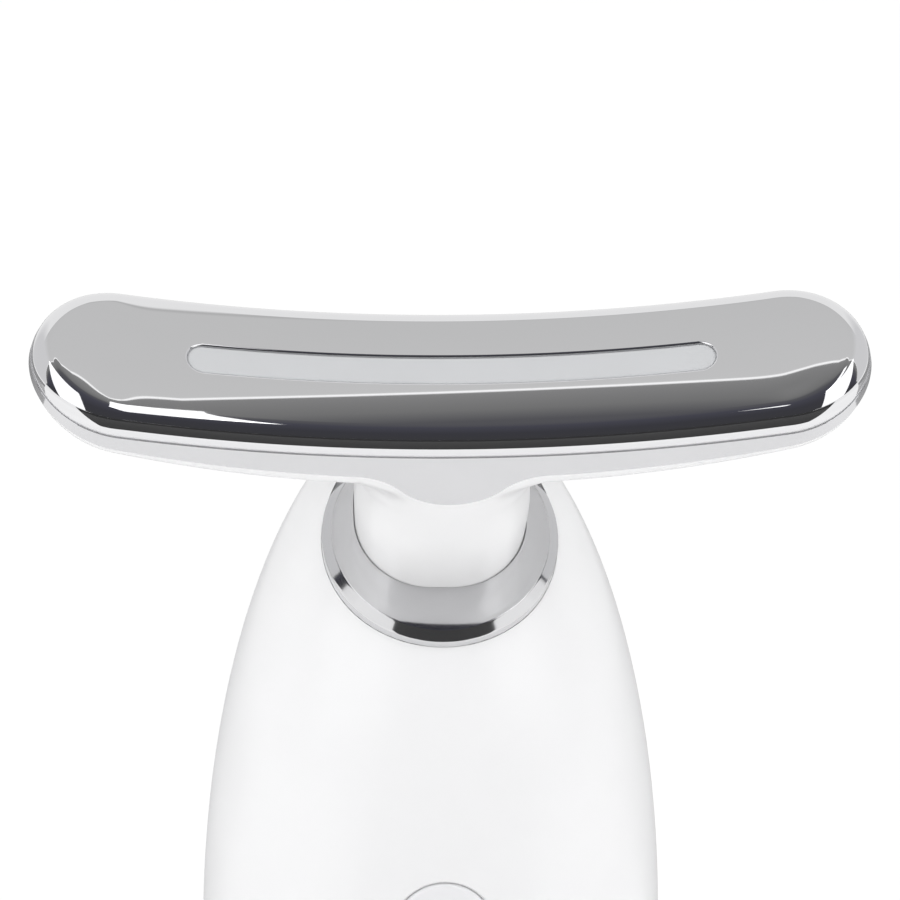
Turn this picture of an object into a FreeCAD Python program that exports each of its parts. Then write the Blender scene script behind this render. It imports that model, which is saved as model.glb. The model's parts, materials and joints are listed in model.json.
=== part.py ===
import FreeCAD
import Part
import math
import os

# Hand-held face massager: an egg-shaped handle, a slanted collar, a round neck and a wide curved head.
# Millimetres, +Z up, origin at the middle of the flat foot, front of the handle towards -Y.

V = FreeCAD.Vector

# Handle: an egg with a flat foot, split into a front and a rear shell at Y = 0
HANDLE_HALF_WIDTH = 27.2
HANDLE_FRONT_DEPTH = 23.0
HANDLE_REAR_DEPTH = 20.5
WIDEST_HEIGHT = 39.5
HANDLE_RISE = 65.0
HANDLE_DROP = 47.0
FOOT_EDGE_RADIUS = 2.0
FOOT_TRIM = 0.05
SHELL_WALL = 2.0
LIP_WALL = 1.0
LIP_REACH = 2.0
LIP_ROOT = 0.3
LIP_CLEARANCE = 0.1
LIP_LOW = 16.0
LIP_HIGH = 76.0

# Collar: a plated ring let into a flat seat on the slanted front of the handle
COLLAR_TILT = 50.0
COLLAR_LOW_HEIGHT = 78.25
COLLAR_RADIUS = 13.7
COLLAR_LAND_RADIUS = 12.65
COLLAR_HEIGHT = 2.3
COLLAR_SINK = 0.4
COLLAR_EDGE_RADIUS = 0.5
COLLAR_CLEARANCE = 0.1
SEAT_WALL = 2.0
SEAT_MARGIN = 1.6

# Neck and its fixing
NECK_TILT = 40.0
NECK_OFFSET = 2.8
NECK_LENGTH = 22.5
NECK_RADIUS = 9.7
NECK_WALL = 2.2
NECK_STAND = 0.04
NECK_CORNER_RADIUS = 8.6
FLARE_DEPTHS = (0.4, 4.5, 7.5, 11.0)
FLARE_SPREADS = (14.3, 7.8, 2.6, 0.7)
SPIGOT_RADIUS = 7.5
SPIGOT_BORE = 5.3
SPIGOT_BLOCK = 5.0
SPIGOT_CLEARANCE = 0.1
RETAINER_RADIUS = 10.0
RETAINER_THICKNESS = 2.0
NECK_SCREW_CIRCLE = 6.4
NECK_SCREW_COUNT = 3

# Head: a stadium-shaped plate bent along its length, over a skirt and a white underside
HEAD_LENGTH = 93.4
HEAD_HALF_WIDTH = 9.75
PLATE_BEND_RADIUS = 175.0
CROWN_RADIUS = 50.0
PLATE_EDGE_RADIUS = 2.6
PLATE_RIM = 0.1
PLATE_WALL = 1.3
GASKET_THICKNESS = 0.2
GASKET_SETBACK = 0.2
SKIRT_WALL = 1.6
SKIRT_DEPTH = 3.9
SKIRT_END_DEPTH = 1.19
CHIN_DEPTH = 8.7
CHIN_HALF_WIDTH = 11.5
UNDERSIDE_DEPTH = 6.2
UNDERSIDE_END_DEPTH = 2.5
UNDERSIDE_EDGE_RADIUS = 1.5
UPSTAND_WALL = 1.2
UPSTAND_HEIGHT = 0.6
HEAD_FLOOR = 1.4

# Light window and what lies under it
WINDOW_LENGTH = 59.0
WINDOW_WIDTH = 3.8
WINDOW_RECESS = 0.12
WINDOW_CLEARANCE = 0.08
WINDOW_FLANGE = 1.5
WINDOW_FLANGE_THICKNESS = 0.8
LAYER_CLEARANCE = 0.05
HEATER_THICKNESS = 0.3
HEATER_WIDTH = 1.9
HEATER_LENGTH = 25.0
TRAY_TOP = -0.7
TRAY_THICKNESS = 1.2
TRAY_CLEARANCE = 0.2
TRAY_RIB_THICKNESS = 1.2
TRAY_RIB_PLACES = (-26.0, -14.0, 14.0, 26.0)
STRIP_HALF_WIDTH = 2.6
STRIP_THICKNESS = 0.4
CHIP_COUNT = 11
CHIP_LENGTH = 2.8
CHIP_WIDTH = 2.4
CHIP_HEIGHT = 0.8
BOSS_RADIUS = 1.45

# Power button and its switch
BUTTON_HEIGHT = 45.5
BUTTON_HOLE_RADIUS = 6.0
BUTTON_GAP = 0.25
BUTTON_DISH_RADIUS = 34.0
BUTTON_DISH_DEPTH = 0.45
GUIDE_WALL = 1.8
GUIDE_LENGTH = 2.4
FLANGE_OVERLAP = 1.2
FLANGE_THICKNESS = 1.2
FLANGE_CLEARANCE = 0.1
POST_RADIUS = 2.2
POST_LENGTH = 2.4
POST_CLEARANCE = 0.05
PLUNGER_RADIUS = 1.7
PLUNGER_STAND = 1.5
PLUNGER_GUIDE = 1.0
PLUNGER_TRAVEL_ROOM = 1.0
PLUNGER_CLEARANCE = 0.08
SWITCH_SIZE = 6.0
SWITCH_HEIGHT = 3.5

# Boards, frame and battery
BOARD_HALF_WIDTH = 11.5
BOARD_LOW = 20.0
BOARD_HIGH = 66.0
BOARD_THICKNESS = 1.6
BOARD_CORNER_RADIUS = 2.0
BOARD_SCREW_INSET = 2.6
CONTROLLER_SIZE = 7.0
DRIVER_WIDTH = 5.0
DRIVER_HEIGHT = 6.0
CHIP_THICKNESS = 1.2
CHIP_SPACING = 5.5
CAPACITOR_RADIUS = 2.0
CAPACITOR_HEIGHT = 4.0
CAPACITOR_REACH = 7.2
STANDOFF_LENGTH = 4.0
STANDOFF_RADIUS = 2.0
FRAME_THICKNESS = 1.8
FRAME_HALF_WIDTH = 18.0
FRAME_LOW = 19.0
FRAME_HIGH = 68.0
FRAME_CORNER_RADIUS = 4.0
FRAME_WINDOW_MARGIN = 5.0
EAR_REACH = 15.0
EAR_LOW = 24.0
EAR_HIGH = 60.0
SHELL_BOSS_RADIUS = 2.4
BATTERY_RADIUS = 5.2
BATTERY_LENGTH = 44.0
BATTERY_LOW = 21.0
BATTERY_GAP = 2.6
BATTERY_CLEARANCE = 0.05
CRADLE_WALL = 1.4
CRADLE_WIDTH = 4.0
CRADLE_PLACES = (28.0, 55.0)
CHARGE_HEIGHT = 12.0
CHARGE_BOARD_THICKNESS = 1.2
CHARGE_BOARD_HALF_WIDTH = 6.5
CHARGE_BOARD_LENGTH = 11.0
CHARGE_SHELF = 1.6
SOCKET_WIDTH = 8.94
SOCKET_HEIGHT = 3.26
SOCKET_WALL = 0.3
SOCKET_DEPTH = 7.3
SOCKET_INSET = 0.8
SOCKET_TONGUE = 0.7
PORT_CLEARANCE = 0.4

# Vibration motor
MOTOR_HEIGHT = 75.0
MOTOR_RADIUS = 4.0
MOTOR_LENGTH = 13.0
MOTOR_SHIFT = -2.5
MOTOR_CAP_THICKNESS = 1.5
MOTOR_CAP_RADIUS = 3.5
SLEEVE_WALL = 0.8
SLEEVE_LENGTH = 10.0
SLEEVE_CLEARANCE = 0.02
MOTOR_CRADLE_WALL = 1.6
CLAMP_WALL = 1.1
CLAMP_EAR = 4.4
CLAMP_EAR_THICKNESS = 1.6
SHAFT_RADIUS = 0.75
SHAFT_CLEARANCE = 0.05
SHAFT_REACH = 7.0
SHAFT_SEAT = 9.0
WEIGHT_RADIUS = 3.6
WEIGHT_HUB_RADIUS = 1.7
WEIGHT_LENGTH = 5.0
WEIGHT_STAND = 1.2

# Screws and wires
SCREW_RADIUS = 0.9
SCREW_HEAD_RADIUS = 1.7
SCREW_HEAD_HEIGHT = 0.85
SCREW_LENGTH = 6.0
SCREW_CLEARANCE = 0.03
CABLE_RADIUS = 1.3
LEAD_RADIUS = 0.6
LEAD_SPACING = 1.6
WIRE_BEND_SHARE = 0.45

# Large reach for cutting tools, well past every outline
FAR = 4.0 * HEAD_LENGTH
X_AXIS = V(1, 0, 0)
Y_AXIS = V(0, 1, 0)
Z_AXIS = V(0, 0, 1)
ORIGIN = V(0, 0, 0)


# Places that follow from the driving dimensions
def tilted_axes(tilt):
    """Normal and uphill direction of a plane that leans forward by tilt degrees."""
    angle = math.radians(tilt)
    normal = V(0, -math.sin(angle), math.cos(angle))
    uphill = V(0, math.cos(angle), math.sin(angle))
    return normal, uphill


def front_surface(height):
    """Y of the handle's outer front on the middle line at a height above the widest section."""
    share = (height - WIDEST_HEIGHT) / HANDLE_RISE
    return -HANDLE_FRONT_DEPTH * math.sqrt(1.0 - share * share)


def rear_surface(height):
    """Y of the handle's outer rear on the middle line at a height below the widest section."""
    share = (height - WIDEST_HEIGHT) / HANDLE_DROP
    return HANDLE_REAR_DEPTH * math.sqrt(1.0 - share * share)


COLLAR_NORMAL, COLLAR_UPHILL = tilted_axes(COLLAR_TILT)
NECK_NORMAL, NECK_UPHILL = tilted_axes(NECK_TILT)
COLLAR_LOW = V(0, front_surface(COLLAR_LOW_HEIGHT), COLLAR_LOW_HEIGHT)
COLLAR_BASE = COLLAR_LOW + COLLAR_UPHILL * COLLAR_RADIUS - COLLAR_NORMAL * COLLAR_SINK
NECK_FOOT = COLLAR_BASE + COLLAR_NORMAL * (COLLAR_SINK + COLLAR_HEIGHT) + COLLAR_UPHILL * NECK_OFFSET
HEAD_CENTRE = NECK_FOOT + NECK_NORMAL * NECK_LENGTH
TILT_BETWEEN = math.radians(COLLAR_TILT - NECK_TILT)
SEAT_SLIDE = (COLLAR_SINK + COLLAR_HEIGHT) * math.tan(TILT_BETWEEN)
SPIGOT_CENTRE = COLLAR_BASE + COLLAR_UPHILL * (NECK_OFFSET + SEAT_SLIDE)

CROWN_RISE = math.sqrt((CROWN_RADIUS - PLATE_EDGE_RADIUS) ** 2 - (HEAD_HALF_WIDTH - PLATE_EDGE_RADIUS) ** 2)
CROWN_HEIGHT = PLATE_RIM + CROWN_RADIUS - CROWN_RISE
BOSS_STAND = WINDOW_FLANGE + TRAY_CLEARANCE + BOSS_RADIUS
END_BOSS_ANGLE = math.asin((WINDOW_LENGTH / 2 + BOSS_STAND) / (PLATE_BEND_RADIUS - CROWN_HEIGHT))
END_BOSS_REACH = END_BOSS_ANGLE * PLATE_BEND_RADIUS
STRIP_LOW = TRAY_TOP + LAYER_CLEARANCE
STRIP_TOP = STRIP_LOW + STRIP_THICKNESS
SIDE_BOSS_REACH = WINDOW_WIDTH / 2 + BOSS_STAND
BEND_CENTRE = V(0, 0, PLATE_BEND_RADIUS)
BEND_DIAGONAL = math.hypot(PLATE_BEND_RADIUS, HEAD_HALF_WIDTH)
BEND_ANGLE = math.asin(HEAD_LENGTH / 2 / BEND_DIAGONAL) - math.atan2(HEAD_HALF_WIDTH, PLATE_BEND_RADIUS)
TIP_RISE = PLATE_BEND_RADIUS * (1 - math.cos(BEND_ANGLE)) + HEAD_HALF_WIDTH * math.sin(BEND_ANGLE)


def edge_radius(depth, end_depth):
    """Radius of the arc that lies depth below the crease at the middle and end_depth below it at the tips."""
    rise = TIP_RISE + depth - end_depth
    return ((HEAD_LENGTH / 2) ** 2 + rise ** 2) / (2 * rise)


SKIRT_RADIUS = edge_radius(SKIRT_DEPTH, SKIRT_END_DEPTH)
UNDERSIDE_RADIUS = edge_radius(UNDERSIDE_DEPTH, UNDERSIDE_END_DEPTH)

FRONT_Y = front_surface(BUTTON_HEIGHT)
GUIDE_FACE = FRONT_Y + SHELL_WALL + GUIDE_LENGTH
FLANGE_FRONT = GUIDE_FACE + FLANGE_CLEARANCE
FLANGE_BACK = FLANGE_FRONT + FLANGE_THICKNESS
POST_TIP = FLANGE_BACK + POST_LENGTH
PLUNGER_TIP = POST_TIP + POST_CLEARANCE
SWITCH_FRONT = PLUNGER_TIP + PLUNGER_STAND
BOARD_FRONT = SWITCH_FRONT + SWITCH_HEIGHT
BOARD_BACK = BOARD_FRONT + BOARD_THICKNESS
FRAME_FRONT = BOARD_BACK + STANDOFF_LENGTH
FRAME_BACK = FRAME_FRONT + FRAME_THICKNESS
BATTERY_Y = FRAME_BACK + BATTERY_GAP + BATTERY_RADIUS
SOCKET_MOUTH = rear_surface(CHARGE_HEIGHT) - SOCKET_INSET
SLEEVE_RADIUS = MOTOR_RADIUS + SLEEVE_WALL
MOTOR_Y = FRAME_BACK + MOTOR_CRADLE_WALL + SLEEVE_RADIUS
MOTOR_FRONT = MOTOR_SHIFT + MOTOR_LENGTH / 2
MOTOR_REAR = MOTOR_SHIFT - MOTOR_LENGTH / 2


# Small makers used by several pieces
def line(start, end):
    return Part.makeLine(start, end)


def arc(start, middle, end):
    return Part.Arc(start, middle, end).toShape()


def face_of(edges):
    return Part.Face(Part.Wire(edges))


def cylinder(radius, length, start, direction):
    return Part.makeCylinder(radius, length, start, direction)


def tube(outer, inner, length, start, direction):
    return cylinder(outer, length, start, direction).cut(cylinder(inner, length, start, direction))


def box(low, high):
    size = high - low
    return Part.makeBox(size.x, size.y, size.z, low)


def rounded_plate(half_width, low, high, front, back, radius):
    """Upright plate with rounded corners, between two heights, from front to back along Y."""
    plate = box(V(-half_width, front, low), V(half_width, back, high))
    corners = [edge for edge in plate.Edges if abs(edge.tangentAt(edge.FirstParameter).y) > 0.9]
    return plate.makeFillet(radius, corners)


def screw(head_seat, direction, length):
    """Cylinder-head screw whose head rests at head_seat and whose shank points along direction."""
    head_top = head_seat - direction * SCREW_HEAD_HEIGHT
    head = cylinder(SCREW_HEAD_RADIUS, SCREW_HEAD_HEIGHT, head_top, direction)
    slot = cylinder(SCREW_HEAD_RADIUS / 3, SCREW_HEAD_HEIGHT / 2, head_top, direction)
    return head.cut(slot).fuse(cylinder(SCREW_RADIUS, length, head_seat, direction)).removeSplitter()


def screw_hole(start, direction, length):
    return cylinder(SCREW_RADIUS + SCREW_CLEARANCE, length, start, direction)


def wire_run(points, radius):
    """Round wire along straight runs joined by tangent arcs as large as the shorter run allows."""
    edges = []
    start = points[0]
    for before, corner, after in zip(points, points[1:], points[2:]):
        back = (before - corner).normalize()
        ahead = (after - corner).normalize()
        half_turn = (math.pi - back.getAngle(ahead)) / 2
        shorter = min((before - corner).Length, (after - corner).Length)
        setback = WIRE_BEND_SHARE * shorter
        bend = setback / math.tan(half_turn)
        inward = (back + ahead).normalize()
        middle = corner + inward * (bend / math.cos(half_turn) - bend)
        edges.append(line(start, corner + back * setback))
        edges.append(arc(corner + back * setback, middle, corner + ahead * setback))
        start = corner + ahead * setback
    edges.append(line(start, points[-1]))
    path = Part.Wire(edges)
    section = Part.Wire(Part.makeCircle(radius, points[0], points[1] - points[0]))
    return path.makePipeShell([section], True, False)


def on_neck(shape):
    """Carry a head piece from its own frame (X along the head, Z out of the plate) to its place."""
    placed = shape.copy()
    head_place = FreeCAD.Placement(HEAD_CENTRE, FreeCAD.Rotation(X_AXIS, NECK_TILT))
    placed.Placement = head_place.multiply(placed.Placement)
    return placed


# Handle shells
def whole_egg(depth, inset, floor):
    """Egg of elliptic arcs turned about Z and flattened to depth, with its seam on the other side of Y = 0.

    The rolled edge of the foot is made a hair below the floor, so that the floor's cut leaves a true plane.
    """
    side = 1.0 if depth > 0 else -1.0
    width = HANDLE_HALF_WIDTH - inset
    top = V(0, 0, WIDEST_HEIGHT + HANDLE_RISE - inset)
    bottom = V(0, 0, WIDEST_HEIGHT - HANDLE_DROP + inset)
    middle = V(0, 0, WIDEST_HEIGHT)
    widest = V(0, -side * width, WIDEST_HEIGHT)
    upper = Part.ArcOfEllipse(Part.Ellipse(top, widest, middle), 0, math.pi / 2).toShape()
    lower = Part.ArcOfEllipse(Part.Ellipse(bottom, widest, middle), 0, math.pi / 2).toShape()
    egg = face_of([upper, lower, line(bottom, top)]).revolve(ORIGIN, Z_AXIS, 360.0)
    egg = egg.common(box(V(-FAR, -FAR, floor - FOOT_TRIM), V(FAR, FAR, FAR)))
    rim = [edge for edge in egg.Edges if edge.BoundBox.ZMax < floor]
    egg = egg.makeFillet(FOOT_EDGE_RADIUS, rim)
    flatten = FreeCAD.Matrix()
    flatten.scale(1.0, (abs(depth) - inset) / width, 1.0)
    egg = egg.transformGeometry(flatten)
    return egg.common(box(V(-FAR, -FAR, floor), V(FAR, FAR, FAR)))


def egg_half(depth, inset, floor):
    """Half of the egg on the side of Y = 0 that depth points to."""
    if depth < 0:
        kept = box(V(-FAR, -FAR, -FAR), V(FAR, 0, FAR))
    else:
        kept = box(V(-FAR, 0, -FAR), V(FAR, FAR, FAR))
    return whole_egg(depth, inset, floor).common(kept)


def collar_column(radius, low, high):
    """Round column square to the collar plane, between two heights above the collar base."""
    return cylinder(radius, high - low, COLLAR_BASE + COLLAR_NORMAL * low, COLLAR_NORMAL)


def ear_places():
    return [(side * EAR_REACH, height) for side in (-1, 1) for height in (EAR_LOW, EAR_HIGH)]


def make_front_shell():
    outside = egg_half(-HANDLE_FRONT_DEPTH, 0.0, 0.0)
    inside = whole_egg(-HANDLE_FRONT_DEPTH, SHELL_WALL, SHELL_WALL)
    in_wall = egg_half(-HANDLE_FRONT_DEPTH, SHELL_WALL / 2, SHELL_WALL / 2)
    shell = outside.cut(inside)
    additions = [collar_column(COLLAR_RADIUS + SEAT_MARGIN, -SEAT_WALL, 0.0)]
    guide_start = V(0, FRONT_Y, BUTTON_HEIGHT)
    additions.append(cylinder(BUTTON_HOLE_RADIUS + GUIDE_WALL, GUIDE_FACE - FRONT_Y, guide_start, Y_AXIS))
    for place, height in ear_places():
        boss_start = V(place, FRONT_Y, height)
        additions.append(cylinder(SHELL_BOSS_RADIUS, FRAME_FRONT - FRONT_Y, boss_start, Y_AXIS))
    for addition in additions:
        shell = shell.fuse(addition.common(in_wall))
    shell = shell.cut(collar_column(COLLAR_RADIUS + COLLAR_CLEARANCE, 0.0, FAR))
    spigot_start = SPIGOT_CENTRE - COLLAR_NORMAL * FAR / 2
    spigot_hole = cylinder(SPIGOT_RADIUS + SPIGOT_CLEARANCE, FAR / 2, spigot_start, COLLAR_NORMAL)
    near_seat = collar_column(COLLAR_RADIUS + SEAT_MARGIN, -SEAT_WALL, 0.0)
    shell = shell.cut(spigot_hole.common(near_seat))
    shell = shell.cut(cylinder(BUTTON_HOLE_RADIUS, GUIDE_FACE - FRONT_Y + SHELL_WALL,
                               V(0, FRONT_Y - SHELL_WALL, BUTTON_HEIGHT), Y_AXIS))
    for place, height in ear_places():
        shell = shell.cut(screw_hole(V(place, FRAME_FRONT, height), -Y_AXIS, SCREW_LENGTH))
    return shell.removeSplitter()


def port_tool(clearance, start, length):
    """Flat-sided slot with round ends, of the charging socket's outline, along +Y."""
    half_height = SOCKET_HEIGHT / 2 + clearance
    half_straight = (SOCKET_WIDTH - SOCKET_HEIGHT) / 2
    slot = box(V(-half_straight, start, CHARGE_HEIGHT - half_height),
               V(half_straight, start + length, CHARGE_HEIGHT + half_height))
    for side in (-1, 1):
        slot = slot.fuse(cylinder(half_height, length, V(side * half_straight, start, CHARGE_HEIGHT), Y_AXIS))
    return slot.removeSplitter()


def shelf_top():
    return CHARGE_HEIGHT - SOCKET_HEIGHT / 2 - CHARGE_BOARD_THICKNESS


def make_rear_shell():
    outside = egg_half(HANDLE_REAR_DEPTH, 0.0, 0.0)
    inside = whole_egg(HANDLE_REAR_DEPTH, SHELL_WALL, SHELL_WALL)
    shell = outside.cut(inside)
    outer = SHELL_WALL + LIP_CLEARANCE
    inner = outer + LIP_WALL
    lip = whole_egg(-HANDLE_FRONT_DEPTH, outer, outer).cut(whole_egg(-HANDLE_FRONT_DEPTH, inner, inner))
    lip = lip.common(box(V(-FAR, -LIP_REACH, LIP_LOW), V(FAR, LIP_ROOT, LIP_HIGH)))
    root_outer = SHELL_WALL - LIP_ROOT
    root_inner = inner + LIP_ROOT
    root = whole_egg(HANDLE_REAR_DEPTH, root_outer, root_outer)
    root = root.cut(whole_egg(HANDLE_REAR_DEPTH, root_inner, root_inner))
    root = root.common(box(V(-FAR, 0, LIP_LOW), V(FAR, LIP_REACH, LIP_HIGH)))
    shelf = box(V(-CHARGE_BOARD_HALF_WIDTH, SOCKET_MOUTH - CHARGE_BOARD_LENGTH, shelf_top() - CHARGE_SHELF),
                V(CHARGE_BOARD_HALF_WIDTH, HANDLE_REAR_DEPTH, shelf_top()))
    stop = box(V(-CHARGE_BOARD_HALF_WIDTH, SOCKET_MOUTH - CHARGE_BOARD_LENGTH, 0),
               V(CHARGE_BOARD_HALF_WIDTH, SOCKET_MOUTH - CHARGE_BOARD_LENGTH + CHARGE_SHELF, shelf_top()))
    in_wall = egg_half(HANDLE_REAR_DEPTH, SHELL_WALL / 2, SHELL_WALL / 2)
    shell = shell.fuse(root).fuse(lip)
    shell = shell.fuse(shelf.common(in_wall)).fuse(stop.common(in_wall))
    room_half_width = CHARGE_BOARD_HALF_WIDTH + LAYER_CLEARANCE
    board_room = box(V(-room_half_width, 0, shelf_top()),
                     V(room_half_width, SOCKET_MOUTH, shelf_top() + CHARGE_BOARD_THICKNESS))
    board_room = board_room.common(in_wall)
    shell = shell.cut(board_room)
    shell = shell.cut(port_tool(PORT_CLEARANCE, 0, FAR))
    return shell.removeSplitter()


# Head pieces, made in the head's own frame: Z = 0 is the crease between plate and skirt
def bent_bar(half_profile):
    """Half profile (Y >= 0) carried along the bend, mirrored, and turned half round at both ends."""
    degrees = math.degrees(BEND_ANGLE)
    start = half_profile.copy()
    start.rotate(BEND_CENTRE, Y_AXIS, -degrees)
    side = start.revolve(BEND_CENTRE, Y_AXIS, 2 * degrees)
    pieces = [side, side.mirror(ORIGIN, Y_AXIS)]
    for turn in (-1, 1):
        cap = half_profile.revolve(ORIGIN, Z_AXIS, 180.0 * turn)
        cap.rotate(BEND_CENTRE, Y_AXIS, degrees * turn)
        pieces.append(cap)
    bar = pieces[0]
    for piece in pieces[1:]:
        bar = bar.fuse(piece)
    return bar.removeSplitter()


def bent_strip(half_width, low, high, half_length):
    """Flat strip of constant thickness that follows the bend, square at its ends."""
    profile = face_of([
        line(V(0, -half_width, low), V(0, half_width, low)),
        line(V(0, half_width, low), V(0, half_width, high)),
        line(V(0, half_width, high), V(0, -half_width, high)),
        line(V(0, -half_width, high), V(0, -half_width, low)),
    ])
    degrees = math.degrees(half_length / PLATE_BEND_RADIUS)
    profile.rotate(BEND_CENTRE, Y_AXIS, -degrees)
    return profile.revolve(BEND_CENTRE, Y_AXIS, 2 * degrees)


def along_bend(shape, reach):
    """Turn a piece made at the middle of the head to its place at an arc length along the bend."""
    turned = shape.copy()
    turned.rotate(BEND_CENTRE, Y_AXIS, -math.degrees(reach / PLATE_BEND_RADIUS))
    return turned


def flat_half(half_width, low, high):
    return face_of([
        line(V(0, 0, low), V(0, half_width, low)),
        line(V(0, half_width, low), V(0, half_width, high)),
        line(V(0, half_width, high), V(0, 0, high)),
        line(V(0, 0, high), V(0, 0, low)),
    ])


def dome_half(inset, low):
    """Half section of the plate: rim, rolled edge and crown, drawn inwards by inset."""
    roll_centre = V(0, HEAD_HALF_WIDTH - PLATE_EDGE_RADIUS, PLATE_RIM)
    crown_centre = V(0, 0, CROWN_HEIGHT - CROWN_RADIUS)
    outward = (roll_centre - crown_centre).normalize()
    half_roll = (outward + Y_AXIS).normalize()
    half_crown = (outward + Z_AXIS).normalize()
    roll = PLATE_EDGE_RADIUS - inset
    crown = CROWN_RADIUS - inset
    rim = roll_centre + Y_AXIS * roll
    shoulder = roll_centre + outward * roll
    top = crown_centre + Z_AXIS * crown
    return face_of([
        line(V(0, 0, low), V(0, rim.y, low)),
        line(V(0, rim.y, low), rim),
        arc(rim, roll_centre + half_roll * roll, shoulder),
        arc(shoulder, crown_centre + half_crown * crown, top),
        line(top, V(0, 0, low)),
    ])


def crown_layer(half_width, upper_inset, lower_inset, half_length):
    """Layer under the crown between two insets, as wide as half_width each side, along the bend."""
    centre = CROWN_HEIGHT - CROWN_RADIUS

    def edge_points(inset):
        radius = CROWN_RADIUS - inset
        side_height = centre + math.sqrt(radius * radius - half_width * half_width)
        return V(0, -half_width, side_height), V(0, 0, centre + radius), V(0, half_width, side_height)

    upper = edge_points(upper_inset)
    lower = edge_points(lower_inset)
    profile = face_of([
        arc(*upper),
        line(upper[2], lower[2]),
        arc(*lower),
        line(lower[0], upper[0]),
    ])
    degrees = math.degrees(half_length / PLATE_BEND_RADIUS)
    profile.rotate(BEND_CENTRE, Y_AXIS, -degrees)
    return profile.revolve(BEND_CENTRE, Y_AXIS, 2 * degrees)


def slot_column(length, width):
    """Upright column with the outline of a slot with round ends."""
    straight = (length - width) / 2
    column = box(V(-straight, -width / 2, -FAR / 2), V(straight, width / 2, FAR / 2))
    for side in (-1, 1):
        column = column.fuse(cylinder(width / 2, FAR, V(side * straight, 0, -FAR / 2), Z_AXIS))
    return column.removeSplitter()


def above_curve(depth, radius, front, back):
    """Everything above a shallow arc that passes depth below the crease, from front to back along Y."""
    reach = 0.6 * HEAD_LENGTH
    rise = radius - depth - math.sqrt(radius * radius - reach * reach)
    top = FAR / 4
    left = V(-reach, front, rise)
    right = V(reach, front, rise)
    profile = face_of([
        arc(left, V(0, front, -depth), right),
        line(right, V(reach, front, top)),
        line(V(reach, front, top), V(-reach, front, top)),
        line(V(-reach, front, top), left),
    ])
    return profile.extrude(Y_AXIS * (back - front))


def chin_prism(front, back):
    """Bell-shaped chin of the skirt: a round tip that runs out into the skirt's edge on both sides."""
    shoulder = SKIRT_RADIUS - SKIRT_DEPTH - math.sqrt(SKIRT_RADIUS ** 2 - CHIN_HALF_WIDTH ** 2)
    fall = CHIN_DEPTH + shoulder
    radius = (CHIN_HALF_WIDTH ** 2 + fall ** 2) / (4 * fall)
    half_turn = math.atan2(fall, CHIN_HALF_WIDTH)
    sweep = radius * math.sin(half_turn)
    drop = radius * (1 - math.cos(half_turn))
    tip = V(0, front, -CHIN_DEPTH)
    edges = []
    for side in (-1, 1):
        meeting = V(side * CHIN_HALF_WIDTH / 2, front, shoulder - fall / 2)
        run_out = V(side * CHIN_HALF_WIDTH, front, shoulder)
        edges.append(arc(tip, V(side * sweep, front, drop - CHIN_DEPTH), meeting))
        edges.append(arc(meeting, V(run_out.x - side * sweep, front, shoulder - drop), run_out))
        edges.append(line(run_out, V(run_out.x, front, 0)))
    edges.append(line(V(-CHIN_HALF_WIDTH, front, 0), V(CHIN_HALF_WIDTH, front, 0)))
    return Part.Face(Part.Wire(Part.__sortEdges__(edges))).extrude(Y_AXIS * (back - front))


def neck_section(depth, half_width, half_depth, corner):
    """Section of the neck square to its axis: four straight flanks with round corners."""
    flat_x = half_width - corner
    flat_y = half_depth - corner
    diagonal = corner * math.sqrt(0.5)
    edges = []
    for turn in range(4):
        along, across = (flat_x, flat_y) if turn % 2 == 0 else (flat_y, flat_x)
        flank_start = V(-along, -across - corner, -depth)
        flank_end = V(along, -across - corner, -depth)
        corner_middle = V(along + diagonal, -across - diagonal, -depth)
        corner_end = V(along + corner, -across, -depth)
        for edge in (line(flank_start, flank_end), arc(flank_end, corner_middle, corner_end)):
            edge.rotate(ORIGIN, Z_AXIS, 90.0 * turn)
            edges.append(edge)
    return Part.Wire(Part.__sortEdges__(edges))


def neck_solid(clearance):
    """Neck from the head down past the collar seat: a flare, then a slightly tapering column."""
    front = HEAD_HALF_WIDTH + NECK_STAND + clearance
    corner = NECK_CORNER_RADIUS + clearance
    sections = []
    for depth, spread in zip(FLARE_DEPTHS, FLARE_SPREADS):
        sections.append(neck_section(depth, NECK_RADIUS + spread + clearance, front, corner))
    flare = Part.makeLoft(sections, True, False)
    foot = neck_section(NECK_LENGTH + SPIGOT_BLOCK, NECK_RADIUS + clearance, NECK_RADIUS + clearance, corner)
    column = Part.makeLoft([sections[-1], foot], True, True)
    return flare.fuse(column)


def collar_half_space(low):
    """Everything above a plane that is parallel to the collar's base, low above it."""
    block = Part.makeBox(FAR, FAR, FAR, V(-FAR / 2, -FAR / 2, 0))
    plane_point = COLLAR_BASE + COLLAR_NORMAL * low
    block.Placement = FreeCAD.Placement(plane_point, FreeCAD.Rotation(X_AXIS, COLLAR_TILT))
    return block


def head_housing():
    """Skirt and underside as one block: a bent bar with a curved, rounded bottom."""
    bar = bent_bar(flat_half(HEAD_HALF_WIDTH, -2 * UNDERSIDE_DEPTH, -GASKET_THICKNESS))
    block = bar.common(above_curve(UNDERSIDE_DEPTH, UNDERSIDE_RADIUS, -FAR, FAR))
    bottom = [face for face in block.Faces if face.Surface.TypeId == "Part::GeomCylinder"
              and abs(face.Surface.Radius - UNDERSIDE_RADIUS) < LAYER_CLEARANCE]
    rim = [edge for face in bottom for edge in face.OuterWire.Edges]
    return block.makeFillet(UNDERSIDE_EDGE_RADIUS, rim)


def skirt_zone():
    zone = above_curve(SKIRT_DEPTH, SKIRT_RADIUS, -FAR / 2, FAR / 2)
    chin = chin_prism(-2 * HEAD_HALF_WIDTH, -(HEAD_HALF_WIDTH - SKIRT_WALL))
    return zone.fuse(chin)


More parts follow.
